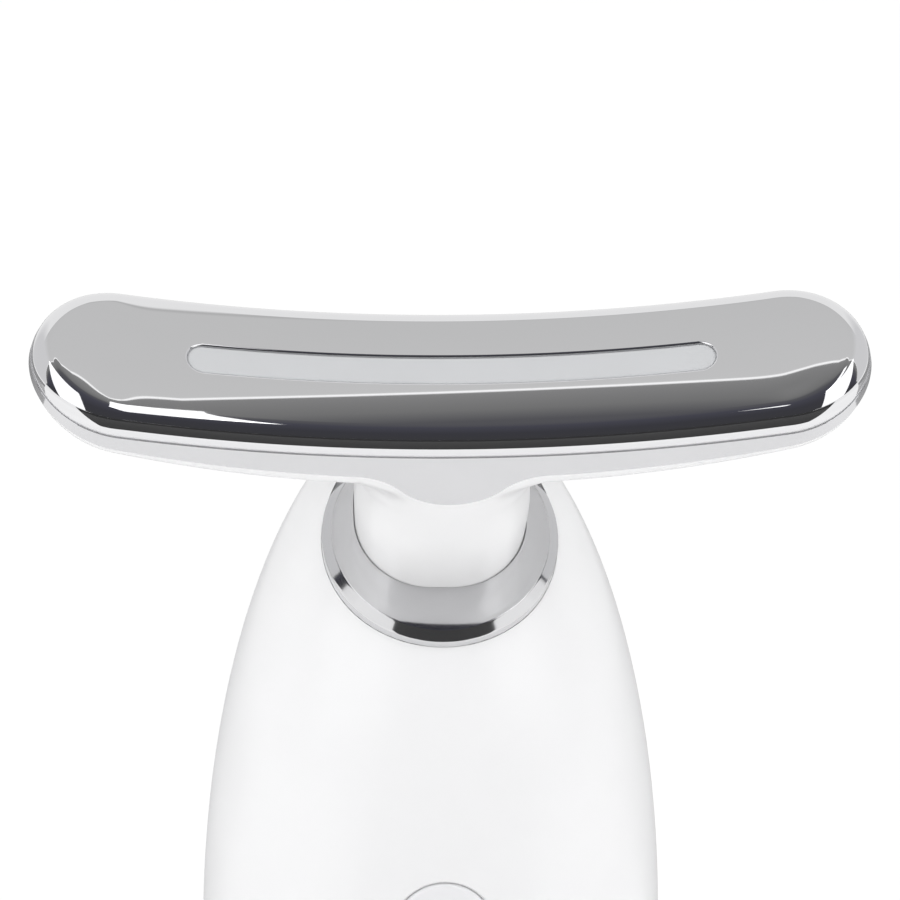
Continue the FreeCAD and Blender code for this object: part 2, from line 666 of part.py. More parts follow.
def make_head():
    """Skirt and underside, split from one block so that they meet face to face."""
    whole = head_housing().fuse(neck_solid(0.0))
    core = bent_bar(flat_half(HEAD_HALF_WIDTH - SKIRT_WALL, -FAR / 4, FAR / 4))
    bezel = whole.common(skirt_zone()).cut(core)
    shell = whole.cut(bezel)
    upstand = bent_bar(flat_half(HEAD_HALF_WIDTH - SKIRT_WALL, -UNDERSIDE_DEPTH / 2, UPSTAND_HEIGHT))
    shell = shell.fuse(upstand.common(above_curve(UNDERSIDE_DEPTH - HEAD_FLOOR, UNDERSIDE_RADIUS, -FAR, FAR)))
    hollow = bent_bar(flat_half(HEAD_HALF_WIDTH - SKIRT_WALL - UPSTAND_WALL, -2 * UNDERSIDE_DEPTH, FAR / 8))
    hollow = hollow.common(above_curve(UNDERSIDE_DEPTH - HEAD_FLOOR, UNDERSIDE_RADIUS, -FAR, FAR))
    shell = shell.cut(hollow)
    for reach, across in boss_places():
        head_room = cylinder(SCREW_HEAD_RADIUS + TRAY_CLEARANCE, SCREW_HEAD_HEIGHT + TRAY_CLEARANCE,
                             V(0, across, TRAY_TOP - TRAY_THICKNESS), -Z_AXIS)
        shell = shell.cut(along_bend(head_room, reach))
    bore = cylinder(NECK_RADIUS - NECK_WALL, NECK_LENGTH + SPIGOT_BLOCK, ORIGIN, -Z_AXIS)
    bore = on_neck(bore).common(collar_half_space(SPIGOT_BLOCK))
    shell = on_neck(shell).common(collar_half_space(0.0)).cut(bore)
    spigot_low = SPIGOT_CENTRE - COLLAR_NORMAL * SEAT_WALL
    shell = shell.fuse(cylinder(SPIGOT_RADIUS, SEAT_WALL + SPIGOT_BLOCK / 2, spigot_low, COLLAR_NORMAL))
    shell = shell.cut(cylinder(SPIGOT_BORE, SEAT_WALL + 2 * SPIGOT_BLOCK, spigot_low, COLLAR_NORMAL))
    for centre in neck_screw_places():
        shell = shell.cut(screw_hole(centre, COLLAR_NORMAL, SCREW_LENGTH - RETAINER_THICKNESS))
    return on_neck(bezel), shell.removeSplitter()


def boss_places():
    """Places of the plate's cast bosses: arc length along the bend and distance across."""
    return [(-END_BOSS_REACH, 0.0), (END_BOSS_REACH, 0.0), (0.0, -SIDE_BOSS_REACH), (0.0, SIDE_BOSS_REACH)]


def make_treatment_plate():
    plate = bent_bar(dome_half(0.0, 0.0)).cut(bent_bar(dome_half(PLATE_WALL, 0.0)))
    filling = bent_bar(dome_half(PLATE_WALL / 2, TRAY_TOP))
    for reach, across in boss_places():
        boss = cylinder(BOSS_RADIUS, 2 * CROWN_HEIGHT, V(0, across, TRAY_TOP), Z_AXIS)
        plate = plate.fuse(along_bend(boss, reach).common(filling))
    plate = plate.cut(slot_column(WINDOW_LENGTH, WINDOW_WIDTH))
    for reach, across in boss_places():
        hole = screw_hole(V(0, across, TRAY_TOP), Z_AXIS, CROWN_HEIGHT - PLATE_WALL - TRAY_TOP)
        plate = plate.cut(along_bend(hole, reach))
    return plate.removeSplitter()


def make_plate_gasket():
    outer = bent_bar(flat_half(HEAD_HALF_WIDTH - GASKET_SETBACK, -GASKET_THICKNESS, 0.0))
    return outer.cut(bent_bar(flat_half(HEAD_HALF_WIDTH - SKIRT_WALL, -GASKET_THICKNESS, 0.0)))


def make_light_window():
    bar = crown_layer(WINDOW_WIDTH, WINDOW_RECESS, PLATE_WALL + WINDOW_FLANGE_THICKNESS, WINDOW_LENGTH)
    bar = bar.common(slot_column(WINDOW_LENGTH - 2 * WINDOW_CLEARANCE, WINDOW_WIDTH - 2 * WINDOW_CLEARANCE))
    upper = PLATE_WALL + LAYER_CLEARANCE
    flange = crown_layer(WINDOW_WIDTH, upper, PLATE_WALL + WINDOW_FLANGE_THICKNESS, WINDOW_LENGTH)
    flange = flange.common(slot_column(WINDOW_LENGTH + 2 * WINDOW_FLANGE, WINDOW_WIDTH + 2 * WINDOW_FLANGE))
    return bar.fuse(flange).removeSplitter()


def make_heater_films():
    """Four thin films bonded under the plate, on both sides of the window and of the middle bosses."""
    upper = PLATE_WALL + LAYER_CLEARANCE
    inner = WINDOW_WIDTH / 2 + WINDOW_FLANGE + TRAY_CLEARANCE
    layer = crown_layer(inner + HEATER_WIDTH, upper, upper + HEATER_THICKNESS, HEAD_LENGTH / 2)
    near = BOSS_RADIUS + TRAY_CLEARANCE
    corner = layer.common(box(V(near, inner, -FAR), V(near + HEATER_LENGTH, FAR, FAR)))
    films = [corner, corner.mirror(ORIGIN, X_AXIS), corner.mirror(ORIGIN, Y_AXIS)]
    films.append(films[1].mirror(ORIGIN, Y_AXIS))
    return Part.makeCompound(films)


def make_light_tray():
    """Carrier of the LED board: a bent tray with cross ribs that stand on the head's floor."""
    half_width = HEAD_HALF_WIDTH - SKIRT_WALL - UPSTAND_WALL - TRAY_CLEARANCE
    tray = bent_bar(flat_half(half_width, TRAY_TOP - TRAY_THICKNESS, TRAY_TOP))
    floor = above_curve(UNDERSIDE_DEPTH - HEAD_FLOOR - LAYER_CLEARANCE, UNDERSIDE_RADIUS, -FAR, FAR)
    tray = tray.common(floor)
    rib_zone = bent_bar(flat_half(half_width, -2 * UNDERSIDE_DEPTH, TRAY_TOP - TRAY_THICKNESS / 2))
    rib_zone = rib_zone.common(floor)
    half_rib = TRAY_RIB_THICKNESS / 2
    for place in TRAY_RIB_PLACES:
        rib = box(V(place - half_rib, -half_width, -FAR), V(place + half_rib, half_width, FAR))
        tray = tray.fuse(rib.common(rib_zone))
    for reach, across in boss_places():
        hole = screw_hole(V(0, across, TRAY_TOP - TRAY_THICKNESS), Z_AXIS, 2 * TRAY_THICKNESS)
        tray = tray.cut(along_bend(hole, reach))
        head_room = cylinder(SCREW_HEAD_RADIUS + TRAY_CLEARANCE, 2 * TRAY_THICKNESS,
                             V(0, across, TRAY_TOP - TRAY_THICKNESS), -Z_AXIS)
        tray = tray.cut(along_bend(head_room, reach))
    cable_room = cylinder(CABLE_RADIUS + SPIGOT_CLEARANCE, UNDERSIDE_DEPTH, V(0, 0, TRAY_TOP), -Z_AXIS)
    tray = tray.cut(cable_room)
    return tray.removeSplitter()


def make_plate_screws():
    length = TRAY_THICKNESS + BOSS_RADIUS
    screws = []
    for reach, across in boss_places():
        screws.append(along_bend(screw(V(0, across, TRAY_TOP - TRAY_THICKNESS), Z_AXIS, length), reach))
    return Part.makeCompound(screws)


def make_light_strip():
    return bent_strip(STRIP_HALF_WIDTH, STRIP_LOW, STRIP_TOP, WINDOW_LENGTH / 2)


def make_light_chips():
    """Row of LED packages, evenly spaced along the bent board."""
    pitch = WINDOW_LENGTH / CHIP_COUNT
    chips = []
    for index in range(CHIP_COUNT):
        reach = (index - (CHIP_COUNT - 1) / 2) * pitch
        chip = bent_strip(CHIP_WIDTH / 2, STRIP_TOP, STRIP_TOP + CHIP_HEIGHT, CHIP_LENGTH / 2)
        chips.append(along_bend(chip, reach))
    return Part.makeCompound(chips)


# Collar and neck fixing
def make_collar_ring():
    height = COLLAR_SINK + COLLAR_HEIGHT
    profile = face_of([
        line(V(0, 0, 0), V(COLLAR_RADIUS, 0, 0)),
        line(V(COLLAR_RADIUS, 0, 0), V(COLLAR_RADIUS, 0, COLLAR_SINK)),
        line(V(COLLAR_RADIUS, 0, COLLAR_SINK), V(COLLAR_LAND_RADIUS, 0, height)),
        line(V(COLLAR_LAND_RADIUS, 0, height), V(0, 0, height)),
        line(V(0, 0, height), V(0, 0, 0)),
    ])
    ring = profile.revolve(ORIGIN, Z_AXIS, 360.0)
    rim = [edge for edge in ring.Edges if abs(edge.CenterOfMass.z - height) < LAYER_CLEARANCE
           and len(edge.Vertexes) == 1]
    ring = ring.makeFillet(COLLAR_EDGE_RADIUS, rim)
    ring.Placement = FreeCAD.Placement(COLLAR_BASE, FreeCAD.Rotation(X_AXIS, COLLAR_TILT))
    return ring.cut(on_neck(neck_solid(COLLAR_CLEARANCE)))


def neck_screw_places():
    """Points under the seat wall, on a circle round the spigot's axis."""
    low = SPIGOT_CENTRE - COLLAR_NORMAL * SEAT_WALL
    places = []
    for index in range(NECK_SCREW_COUNT):
        angle = math.radians(90.0 + 360.0 * index / NECK_SCREW_COUNT)
        offset = X_AXIS * math.cos(angle) + COLLAR_UPHILL * math.sin(angle)
        places.append(low + offset * NECK_SCREW_CIRCLE)
    return places


def make_neck_retainer():
    low = SPIGOT_CENTRE - COLLAR_NORMAL * (SEAT_WALL + RETAINER_THICKNESS)
    plate = tube(RETAINER_RADIUS, SPIGOT_BORE, RETAINER_THICKNESS, low, COLLAR_NORMAL)
    for centre in neck_screw_places():
        hole_start = centre - COLLAR_NORMAL * RETAINER_THICKNESS
        plate = plate.cut(screw_hole(hole_start, COLLAR_NORMAL, RETAINER_THICKNESS))
    return plate


def make_neck_screws():
    seats = [centre - COLLAR_NORMAL * RETAINER_THICKNESS for centre in neck_screw_places()]
    return Part.makeCompound([screw(seat, COLLAR_NORMAL, SCREW_LENGTH) for seat in seats])


# Button and switch
def make_power_button():
    radius = BUTTON_HOLE_RADIUS - BUTTON_GAP
    reach = FLANGE_FRONT - FRONT_Y + SHELL_WALL
    cap = cylinder(radius, reach, V(0, FRONT_Y - SHELL_WALL, BUTTON_HEIGHT), Y_AXIS)
    cap = cap.common(egg_half(-HANDLE_FRONT_DEPTH, 0.0, 0.0))
    dish_centre = V(0, FRONT_Y - BUTTON_DISH_RADIUS + BUTTON_DISH_DEPTH, BUTTON_HEIGHT)
    cap = cap.cut(Part.makeSphere(BUTTON_DISH_RADIUS, dish_centre))
    flange_start = V(0, FLANGE_FRONT, BUTTON_HEIGHT)
    flange = cylinder(BUTTON_HOLE_RADIUS + FLANGE_OVERLAP, FLANGE_THICKNESS, flange_start, Y_AXIS)
    post = cylinder(POST_RADIUS, POST_LENGTH, V(0, FLANGE_BACK, BUTTON_HEIGHT), Y_AXIS)
    return cap.fuse(flange).fuse(post).removeSplitter()


def make_switch_body():
    half = SWITCH_SIZE / 2
    body = box(V(-half, SWITCH_FRONT, BUTTON_HEIGHT - half), V(half, BOARD_FRONT, BUTTON_HEIGHT + half))
    well = cylinder(PLUNGER_RADIUS + PLUNGER_CLEARANCE, PLUNGER_GUIDE + PLUNGER_TRAVEL_ROOM,
                    V(0, SWITCH_FRONT, BUTTON_HEIGHT), Y_AXIS)
    return body.cut(well)


def make_switch_plunger():
    return cylinder(PLUNGER_RADIUS, PLUNGER_STAND + PLUNGER_GUIDE, V(0, PLUNGER_TIP, BUTTON_HEIGHT), Y_AXIS)


# Frame, boards and battery
def board_screw_places():
    across = BOARD_HALF_WIDTH - BOARD_SCREW_INSET
    heights = (BOARD_LOW + BOARD_SCREW_INSET, BOARD_HIGH - BOARD_SCREW_INSET)
    return [(side * across, height) for side in (-1, 1) for height in heights]


def make_inner_frame():
    frame = rounded_plate(FRAME_HALF_WIDTH, FRAME_LOW, FRAME_HIGH,
                          FRAME_FRONT, FRAME_BACK, FRAME_CORNER_RADIUS)
    window = rounded_plate(BOARD_HALF_WIDTH - FRAME_WINDOW_MARGIN, CRADLE_PLACES[0] + FRAME_WINDOW_MARGIN,
                           CRADLE_PLACES[1] - FRAME_WINDOW_MARGIN, FRAME_FRONT, FRAME_BACK, FRAME_THICKNESS)
    frame = frame.cut(window)
    for place, height in board_screw_places():
        frame = frame.fuse(cylinder(STANDOFF_RADIUS, STANDOFF_LENGTH, V(place, BOARD_BACK, height), Y_AXIS))
    holder = BATTERY_RADIUS + BATTERY_CLEARANCE + CRADLE_WALL
    for height in CRADLE_PLACES:
        low = height - CRADLE_WIDTH / 2
        saddle = box(V(-holder, FRAME_BACK, low),
                     V(holder, BATTERY_Y + BATTERY_RADIUS / 2, low + CRADLE_WIDTH))
        frame = frame.fuse(saddle)
    frame = frame.cut(cylinder(BATTERY_RADIUS + BATTERY_CLEARANCE, FRAME_HIGH - FRAME_LOW,
                               V(0, BATTERY_Y, FRAME_LOW), Z_AXIS))
    half_cradle = SLEEVE_LENGTH / 2
    bed = box(V(MOTOR_SHIFT - half_cradle, FRAME_FRONT, FRAME_HIGH - CRADLE_WIDTH),
              V(MOTOR_SHIFT + half_cradle, MOTOR_Y + SLEEVE_RADIUS + CLAMP_EAR, MOTOR_HEIGHT))
    bed_room = box(V(-FAR, FRAME_BACK, -FAR), V(FAR, FAR, FRAME_HIGH))
    lug_front = MOTOR_Y - SLEEVE_RADIUS - CLAMP_EAR
    lug_low = MOTOR_HEIGHT - SCREW_LENGTH - MOTOR_CRADLE_WALL
    lug = box(V(MOTOR_SHIFT - half_cradle, lug_front, lug_low),
              V(MOTOR_SHIFT + half_cradle, FRAME_FRONT, MOTOR_HEIGHT))
    frame = frame.fuse(bed.cut(bed_room)).fuse(lug)
    sleeve_bed = V(-FAR / 2, MOTOR_Y, MOTOR_HEIGHT)
    frame = frame.cut(cylinder(SLEEVE_RADIUS + SLEEVE_CLEARANCE, FAR, sleeve_bed, X_AXIS))
    for place, height in ear_places():
        frame = frame.cut(screw_hole(V(place, FRAME_FRONT, height), Y_AXIS, FRAME_THICKNESS))
    for place, height in board_screw_places():
        frame = frame.cut(screw_hole(V(place, BOARD_BACK, height), Y_AXIS, STANDOFF_LENGTH + FRAME_THICKNESS))
    for centre in clamp_screw_places():
        frame = frame.cut(screw_hole(centre, -Z_AXIS, SCREW_LENGTH))
    return frame.removeSplitter()


def make_frame_screws():
    seats = [V(place, FRAME_BACK, height) for place, height in ear_places()]
    return Part.makeCompound([screw(seat, -Y_AXIS, SCREW_LENGTH) for seat in seats])


def make_main_board():
    board = rounded_plate(BOARD_HALF_WIDTH, BOARD_LOW, BOARD_HIGH,
                          BOARD_FRONT, BOARD_BACK, BOARD_CORNER_RADIUS)
    for place, height in board_screw_places():
        board = board.cut(screw_hole(V(place, BOARD_FRONT, height), Y_AXIS, BOARD_THICKNESS))
    return board


def make_board_screws():
    length = BOARD_THICKNESS + STANDOFF_LENGTH
    seats = [V(place, BOARD_FRONT, height) for place, height in board_screw_places()]
    return Part.makeCompound([screw(seat, Y_AXIS, length) for seat in seats])


def make_board_chips():
    """Controller below the switch, a driver either side above it, and a pair of capacitors beside it."""
    controller = box(V(-CONTROLLER_SIZE / 2, BOARD_FRONT - CHIP_THICKNESS, 0),
                     V(CONTROLLER_SIZE / 2, BOARD_FRONT, CONTROLLER_SIZE))
    controller.translate(V(0, 0, BUTTON_HEIGHT - CHIP_SPACING - CONTROLLER_SIZE))
    parts = [controller]
    for side in (-1, 1):
        driver = box(V(-DRIVER_WIDTH / 2, BOARD_FRONT - CHIP_THICKNESS, 0),
                     V(DRIVER_WIDTH / 2, BOARD_FRONT, DRIVER_HEIGHT))
        driver.translate(V(side * DRIVER_WIDTH, 0, BUTTON_HEIGHT + CHIP_SPACING))
        parts.append(driver)
        foot = V(side * CAPACITOR_REACH, BOARD_FRONT, BUTTON_HEIGHT)
        parts.append(cylinder(CAPACITOR_RADIUS, CAPACITOR_HEIGHT, foot, -Y_AXIS))
    return Part.makeCompound(parts)


def make_battery_cell():
    cell = cylinder(BATTERY_RADIUS, BATTERY_LENGTH, V(0, BATTERY_Y, BATTERY_LOW), Z_AXIS)
    rims = [edge for edge in cell.Edges if edge.Closed and len(edge.Vertexes) == 1]
    cell = cell.makeFillet(BATTERY_RADIUS / 10, rims)
    knob_foot = V(0, BATTERY_Y, BATTERY_LOW + BATTERY_LENGTH)
    knob = cylinder(BATTERY_RADIUS / 3, BATTERY_RADIUS / 5, knob_foot, Z_AXIS)
    return cell.fuse(knob)


def make_charge_board():
    low = shelf_top()
    board = box(V(-CHARGE_BOARD_HALF_WIDTH, SOCKET_MOUTH - CHARGE_BOARD_LENGTH, low),
                V(CHARGE_BOARD_HALF_WIDTH, SOCKET_MOUTH, low + CHARGE_BOARD_THICKNESS))
    return board.common(egg_half(HANDLE_REAR_DEPTH, SHELL_WALL / 2 + LAYER_CLEARANCE, 0.0))


def make_charge_socket():
    start = SOCKET_MOUTH - SOCKET_DEPTH
    socket = port_tool(0.0, start, SOCKET_DEPTH)
    socket = socket.cut(port_tool(-SOCKET_WALL, start + SOCKET_WALL, SOCKET_DEPTH))
    half = (SOCKET_WIDTH - SOCKET_HEIGHT) / 2
    tongue = box(V(-half, start, CHARGE_HEIGHT - SOCKET_TONGUE / 2),
                 V(half, SOCKET_MOUTH - SOCKET_TONGUE, CHARGE_HEIGHT + SOCKET_TONGUE / 2))
    return socket.fuse(tongue).removeSplitter()


# Motor
def clamp_screw_places():
    offset = SLEEVE_RADIUS + CLAMP_EAR - SCREW_HEAD_RADIUS
    return [V(MOTOR_SHIFT, MOTOR_Y + side * offset, MOTOR_HEIGHT) for side in (-1, 1)]


def make_motor_can():
    start = V(MOTOR_REAR, MOTOR_Y, MOTOR_HEIGHT)
    can = cylinder(MOTOR_RADIUS, MOTOR_LENGTH, start, X_AXIS)
    rims = [edge for edge in can.Edges if edge.Closed and len(edge.Vertexes) == 1]
    can = can.makeFillet(MOTOR_RADIUS / 10, rims)
    bore_start = V(MOTOR_FRONT - SHAFT_SEAT - SHAFT_CLEARANCE, MOTOR_Y, MOTOR_HEIGHT)
    return can.cut(cylinder(SHAFT_RADIUS + SHAFT_CLEARANCE, FAR, bore_start, X_AXIS))


def make_motor_cap():
    return cylinder(MOTOR_CAP_RADIUS, MOTOR_CAP_THICKNESS, V(MOTOR_REAR, MOTOR_Y, MOTOR_HEIGHT), -X_AXIS)


def make_motor_sleeve():
    start = V(MOTOR_SHIFT - SLEEVE_LENGTH / 2, MOTOR_Y, MOTOR_HEIGHT)
    return tube(SLEEVE_RADIUS, MOTOR_RADIUS + SLEEVE_CLEARANCE, SLEEVE_LENGTH, start, X_AXIS)


def make_motor_clamp():
    """Strap over the sleeve: a half ring with two flat ears on the cradle."""
    start = V(MOTOR_SHIFT - SLEEVE_LENGTH / 2, MOTOR_Y, MOTOR_HEIGHT)
    ring = cylinder(SLEEVE_RADIUS + CLAMP_WALL, SLEEVE_LENGTH, start, X_AXIS)
    reach = SLEEVE_RADIUS + CLAMP_EAR
    ears = box(V(start.x, MOTOR_Y - reach, MOTOR_HEIGHT),
               V(start.x + SLEEVE_LENGTH, MOTOR_Y + reach, MOTOR_HEIGHT + CLAMP_EAR_THICKNESS))
    clamp = ring.common(box(V(-FAR, -FAR, MOTOR_HEIGHT), V(FAR, FAR, FAR))).fuse(ears)
    clamp = clamp.cut(cylinder(SLEEVE_RADIUS + SLEEVE_CLEARANCE, SLEEVE_LENGTH, start, X_AXIS))
    for centre in clamp_screw_places():
        clamp = clamp.cut(screw_hole(centre, Z_AXIS, CLAMP_EAR_THICKNESS))
    return clamp.removeSplitter()


def make_clamp_screws():
    rise = Z_AXIS * CLAMP_EAR_THICKNESS
    return Part.makeCompound([screw(centre + rise, -Z_AXIS, SCREW_LENGTH) for centre in clamp_screw_places()])


def make_motor_shaft():
    start = V(MOTOR_FRONT - SHAFT_SEAT, MOTOR_Y, MOTOR_HEIGHT)
    return cylinder(SHAFT_RADIUS, SHAFT_SEAT + SHAFT_REACH, start, X_AXIS)


def make_eccentric_weight():
    """Half disc with a round hub, pressed on the shaft."""
    start = V(MOTOR_FRONT + WEIGHT_STAND, MOTOR_Y, MOTOR_HEIGHT)
    disc = cylinder(WEIGHT_RADIUS, WEIGHT_LENGTH, start, X_AXIS)
    disc = disc.common(box(V(-FAR, -FAR, -FAR), V(FAR, FAR, MOTOR_HEIGHT)))
    weight = disc.fuse(cylinder(WEIGHT_HUB_RADIUS, WEIGHT_LENGTH, start, X_AXIS))
    return weight.cut(cylinder(SHAFT_RADIUS, WEIGHT_LENGTH, start, X_AXIS)).removeSplitter()


# Inner wiring
def make_head_cable():
    """Bundle from the board's upper edge through the retainer and the neck to the LED board."""
    board_edge = V(0, (BOARD_FRONT + BOARD_BACK) / 2, BOARD_HIGH)
    in_spigot = SPIGOT_CENTRE - COLLAR_NORMAL * (SEAT_WALL + RETAINER_THICKNESS)
    below = V(0, board_edge.y, (BOARD_HIGH + in_spigot.z) / 2)
    in_neck = HEAD_CENTRE - NECK_NORMAL * NECK_LENGTH * 0.45
    end = HEAD_CENTRE + NECK_NORMAL * TRAY_TOP
    return wire_run([board_edge, below, in_spigot, in_neck, end], CABLE_RADIUS)


def make_battery_leads():
    """Pair of leads from the cell's lower end, under the frame, to the board's lower edge."""
    board_y = (BOARD_FRONT + BOARD_BACK) / 2
    low = FRAME_LOW - 3.0 * LEAD_SPACING
    leads = []
    for side in (-1, 1):
        across = side * LEAD_SPACING / 2
        leads.append(wire_run([V(across, BATTERY_Y, BATTERY_LOW), V(across, BATTERY_Y, low),
                               V(across, board_y, low), V(across, board_y, BOARD_LOW)], LEAD_RADIUS))
    return Part.makeCompound(leads)


def make_charge_leads():
    """Pair of leads from the charging board forward and up to the main board."""
    board_y = (BOARD_FRONT + BOARD_BACK) / 2
    height = shelf_top() + CHARGE_BOARD_THICKNESS / 2
    start = SOCKET_MOUTH - CHARGE_BOARD_LENGTH
    leads = []
    for side in (-1, 1):
        across = side * (LEAD_SPACING * 2.5)
        leads.append(wire_run([V(across, start, height), V(across, board_y, height),
                               V(across, board_y, BOARD_LOW)], LEAD_RADIUS))
    return Part.makeCompound(leads)


def make_motor_leads():
    """Pair of leads from the motor's cap, round its end and down to the board's upper edge."""
    board_y = (BOARD_FRONT + BOARD_BACK) / 2
    start_x = MOTOR_REAR - MOTOR_CAP_THICKNESS
    leads = []
    for side in (-1, 1):
        lift = side * LEAD_SPACING / 2
        start = V(start_x, MOTOR_Y + lift, MOTOR_HEIGHT)
        out = V(start_x - 2 * LEAD_SPACING - lift, start.y, MOTOR_HEIGHT)
        beside = V(out.x, board_y, MOTOR_HEIGHT)
        end = V(-BOARD_HALF_WIDTH + BOARD_CORNER_RADIUS + LEAD_SPACING - lift, board_y, BOARD_HIGH)
        above = end + Z_AXIS * 2 * LEAD_SPACING
        leads.append(wire_run([start, out, beside, above, end], LEAD_RADIUS))
    return Part.makeCompound(leads)


HEAD_BEZEL, HEAD_SHELL = make_head()
NODES = {
    "front_shell": make_front_shell(),
    "rear_shell": make_rear_shell(),
    "collar_ring": make_collar_ring(),
    "head_shell": HEAD_SHELL,
    "head_bezel": HEAD_BEZEL,
    "plate_gasket": on_neck(make_plate_gasket()),
    "treatment_plate": on_neck(make_treatment_plate()),
    "light_window": on_neck(make_light_window()),
    "heater_films": on_neck(make_heater_films()),
    "light_strip": on_neck(make_light_strip()),
    "light_chips": on_neck(make_light_chips()),
    "light_tray": on_neck(make_light_tray()),
    "plate_screws": on_neck(make_plate_screws()),
    "neck_retainer": make_neck_retainer(),
    "neck_screws": make_neck_screws(),
    "power_button": make_power_button(),
    "switch_body": make_switch_body(),
    "switch_plunger": make_switch_plunger(),
    "inner_frame": make_inner_frame(),
    "frame_screws": make_frame_screws(),
    "main_board": make_main_board(),
    "board_screws": make_board_screws(),
    "board_chips": make_board_chips(),
    "battery_cell": make_battery_cell(),
    "charge_board": make_charge_board(),
    "charge_socket": make_charge_socket(),
    "motor_can": make_motor_can(),
    "motor_cap": make_motor_cap(),
    "motor_sleeve": make_motor_sleeve(),
    "motor_clamp": make_motor_clamp(),
    "clamp_screws": make_clamp_screws(),
    "motor_shaft": make_motor_shaft(),
    "eccentric_weight": make_eccentric_weight(),
    "head_cable": make_head_cable(),
    "battery_leads": make_battery_leads(),
    "charge_leads": make_charge_leads(),
    "motor_leads": make_motor_leads(),
}

os.makedirs("parts", exist_ok=True)
for name, shape in NODES.items():
    print(name, "solids", len(shape.Solids), "volume mm3", round(shape.Volume, 2))
    shape.exportStep("parts/" + name + ".step")
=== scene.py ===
# %% [markdown]
# # A hand-held face massager, dressed for its portrait
# The solid model comes in as a fixed frame of named pieces. This lesson keeps that frame, works out
# the outer skins again as smooth surfaces with numpy, and gives every piece a finish of its own.
# All lengths below are written in millimetres and turned into metres when a mesh is made.

# %% Load the frame
import json
import bpy
import bmesh
import numpy as np
from mathutils import Matrix, Vector


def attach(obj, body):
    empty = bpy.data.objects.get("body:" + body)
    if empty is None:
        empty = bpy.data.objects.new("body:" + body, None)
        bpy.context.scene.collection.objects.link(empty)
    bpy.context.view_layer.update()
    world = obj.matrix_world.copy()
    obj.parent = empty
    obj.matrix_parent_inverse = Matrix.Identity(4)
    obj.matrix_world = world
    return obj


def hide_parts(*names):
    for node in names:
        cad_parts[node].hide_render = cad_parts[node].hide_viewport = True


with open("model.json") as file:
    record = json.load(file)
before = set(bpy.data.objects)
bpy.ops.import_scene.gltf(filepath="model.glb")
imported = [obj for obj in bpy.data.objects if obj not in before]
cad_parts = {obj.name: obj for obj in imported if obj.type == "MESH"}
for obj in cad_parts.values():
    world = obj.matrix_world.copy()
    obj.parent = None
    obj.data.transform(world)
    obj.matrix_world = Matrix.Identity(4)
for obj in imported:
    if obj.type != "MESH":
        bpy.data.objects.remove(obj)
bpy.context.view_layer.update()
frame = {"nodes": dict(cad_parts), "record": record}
scene = bpy.context.scene
MM = 0.001

# %% [markdown]
# ## Sizes of the real object
# The handle is an egg made of two elliptic arcs, turned about the upright axis and flattened from
# front to back. A collar sits on its slanted front, a neck rises from the collar, and the head bends
# along its length. Most of these sizes also drive the solid model, so each skin lies on or close to its
# solid.

# %% Sizes
EGG_HALF_WIDTH, EGG_FRONT, EGG_REAR = 27.2, 23.0, 20.5
EGG_WIDEST, EGG_RISE, EGG_DROP, FOOT_RADIUS = 39.5, 65.0, 47.0, 2.0
COLLAR_TILT, COLLAR_LOW_Z, COLLAR_RADIUS, COLLAR_LAND = 50.0, 78.25, 13.7, 12.65
COLLAR_RISE, COLLAR_WALL, COLLAR_SINK, COLLAR_EDGE = 2.3, 1.15, 0.4, 0.2
COLLAR_GAP, COLLAR_SEAT, BORE_HALF_WIDTH, BORE_HALF_DEPTH = 0.03, 0.02, 9.93, 9.75
NECK_TILT, NECK_OFFSET, NECK_LENGTH, NECK_CORNER = 40.0, 2.8, 22.5, 8.6
HEAD_LENGTH, HEAD_HALF, BEND_RADIUS = 93.26, 9.75, 175.0
CROWN_RADIUS, EDGE_ROLL, PLATE_RIM, PLATE_WALL = 50.0, 2.6, 0.1, 1.3
GASKET, SKIRT_DEPTH, SKIRT_END_DEPTH, CHIN_DEPTH, CHIN_HALF = 0.2, 3.9, 1.19, 8.7, 11.5
BELLY_DEPTH, BELLY_END_DEPTH, BELLY_EDGE = 6.2, 2.5, 1.5
SLOT_LENGTH, SLOT_WIDTH, SLOT_GAP = 59.0, 3.8, 0.08
BUTTON_Z, BUTTON_HOLE, BUTTON_GAP, BUTTON_LIP = 45.5, 6.0, 0.25, 0.2
BUTTON_ROUND, BUTTON_THICK, DISH_SINK, DISH_RADIUS, DISH_BLEND = 0.35, 4.4, 0.45, 34.0, 0.02
PORT_Z, PORT_HALF_HEIGHT, PORT_HALF_FLAT, PORT_LIP, PORT_DEPTH = 12.0, 2.03, 2.84, 0.15, 2.0
SHELL_WALL, SEAM_Z = 1.2, 68.0


def tilted(degrees):
    """Normal and uphill direction of a plane that leans forward: (0, -sin, cos) and (0, cos, sin)."""
    angle = np.radians(degrees)
    return np.array([0, -np.sin(angle), np.cos(angle)]), np.array([0, np.cos(angle), np.sin(angle)])


SIDEWAYS = np.array([1.0, 0, 0])
COLLAR_OUT, COLLAR_UP = tilted(COLLAR_TILT)
HEAD_OUT, HEAD_UP = tilted(NECK_TILT)
low_share = (COLLAR_LOW_Z - EGG_WIDEST) / EGG_RISE
collar_low = np.array([0, -EGG_FRONT * np.sqrt(1 - low_share ** 2), COLLAR_LOW_Z])
COLLAR_BASE = collar_low + COLLAR_UP * COLLAR_RADIUS - COLLAR_OUT * COLLAR_SINK
NECK_FOOT = COLLAR_BASE + COLLAR_OUT * (COLLAR_SINK + COLLAR_RISE) + COLLAR_UP * NECK_OFFSET
HEAD_CENTRE = NECK_FOOT + HEAD_OUT * NECK_LENGTH
roll_run = np.sqrt((CROWN_RADIUS - EDGE_ROLL) ** 2 - (HEAD_HALF - EDGE_ROLL) ** 2)
CROWN = PLATE_RIM + CROWN_RADIUS - roll_run
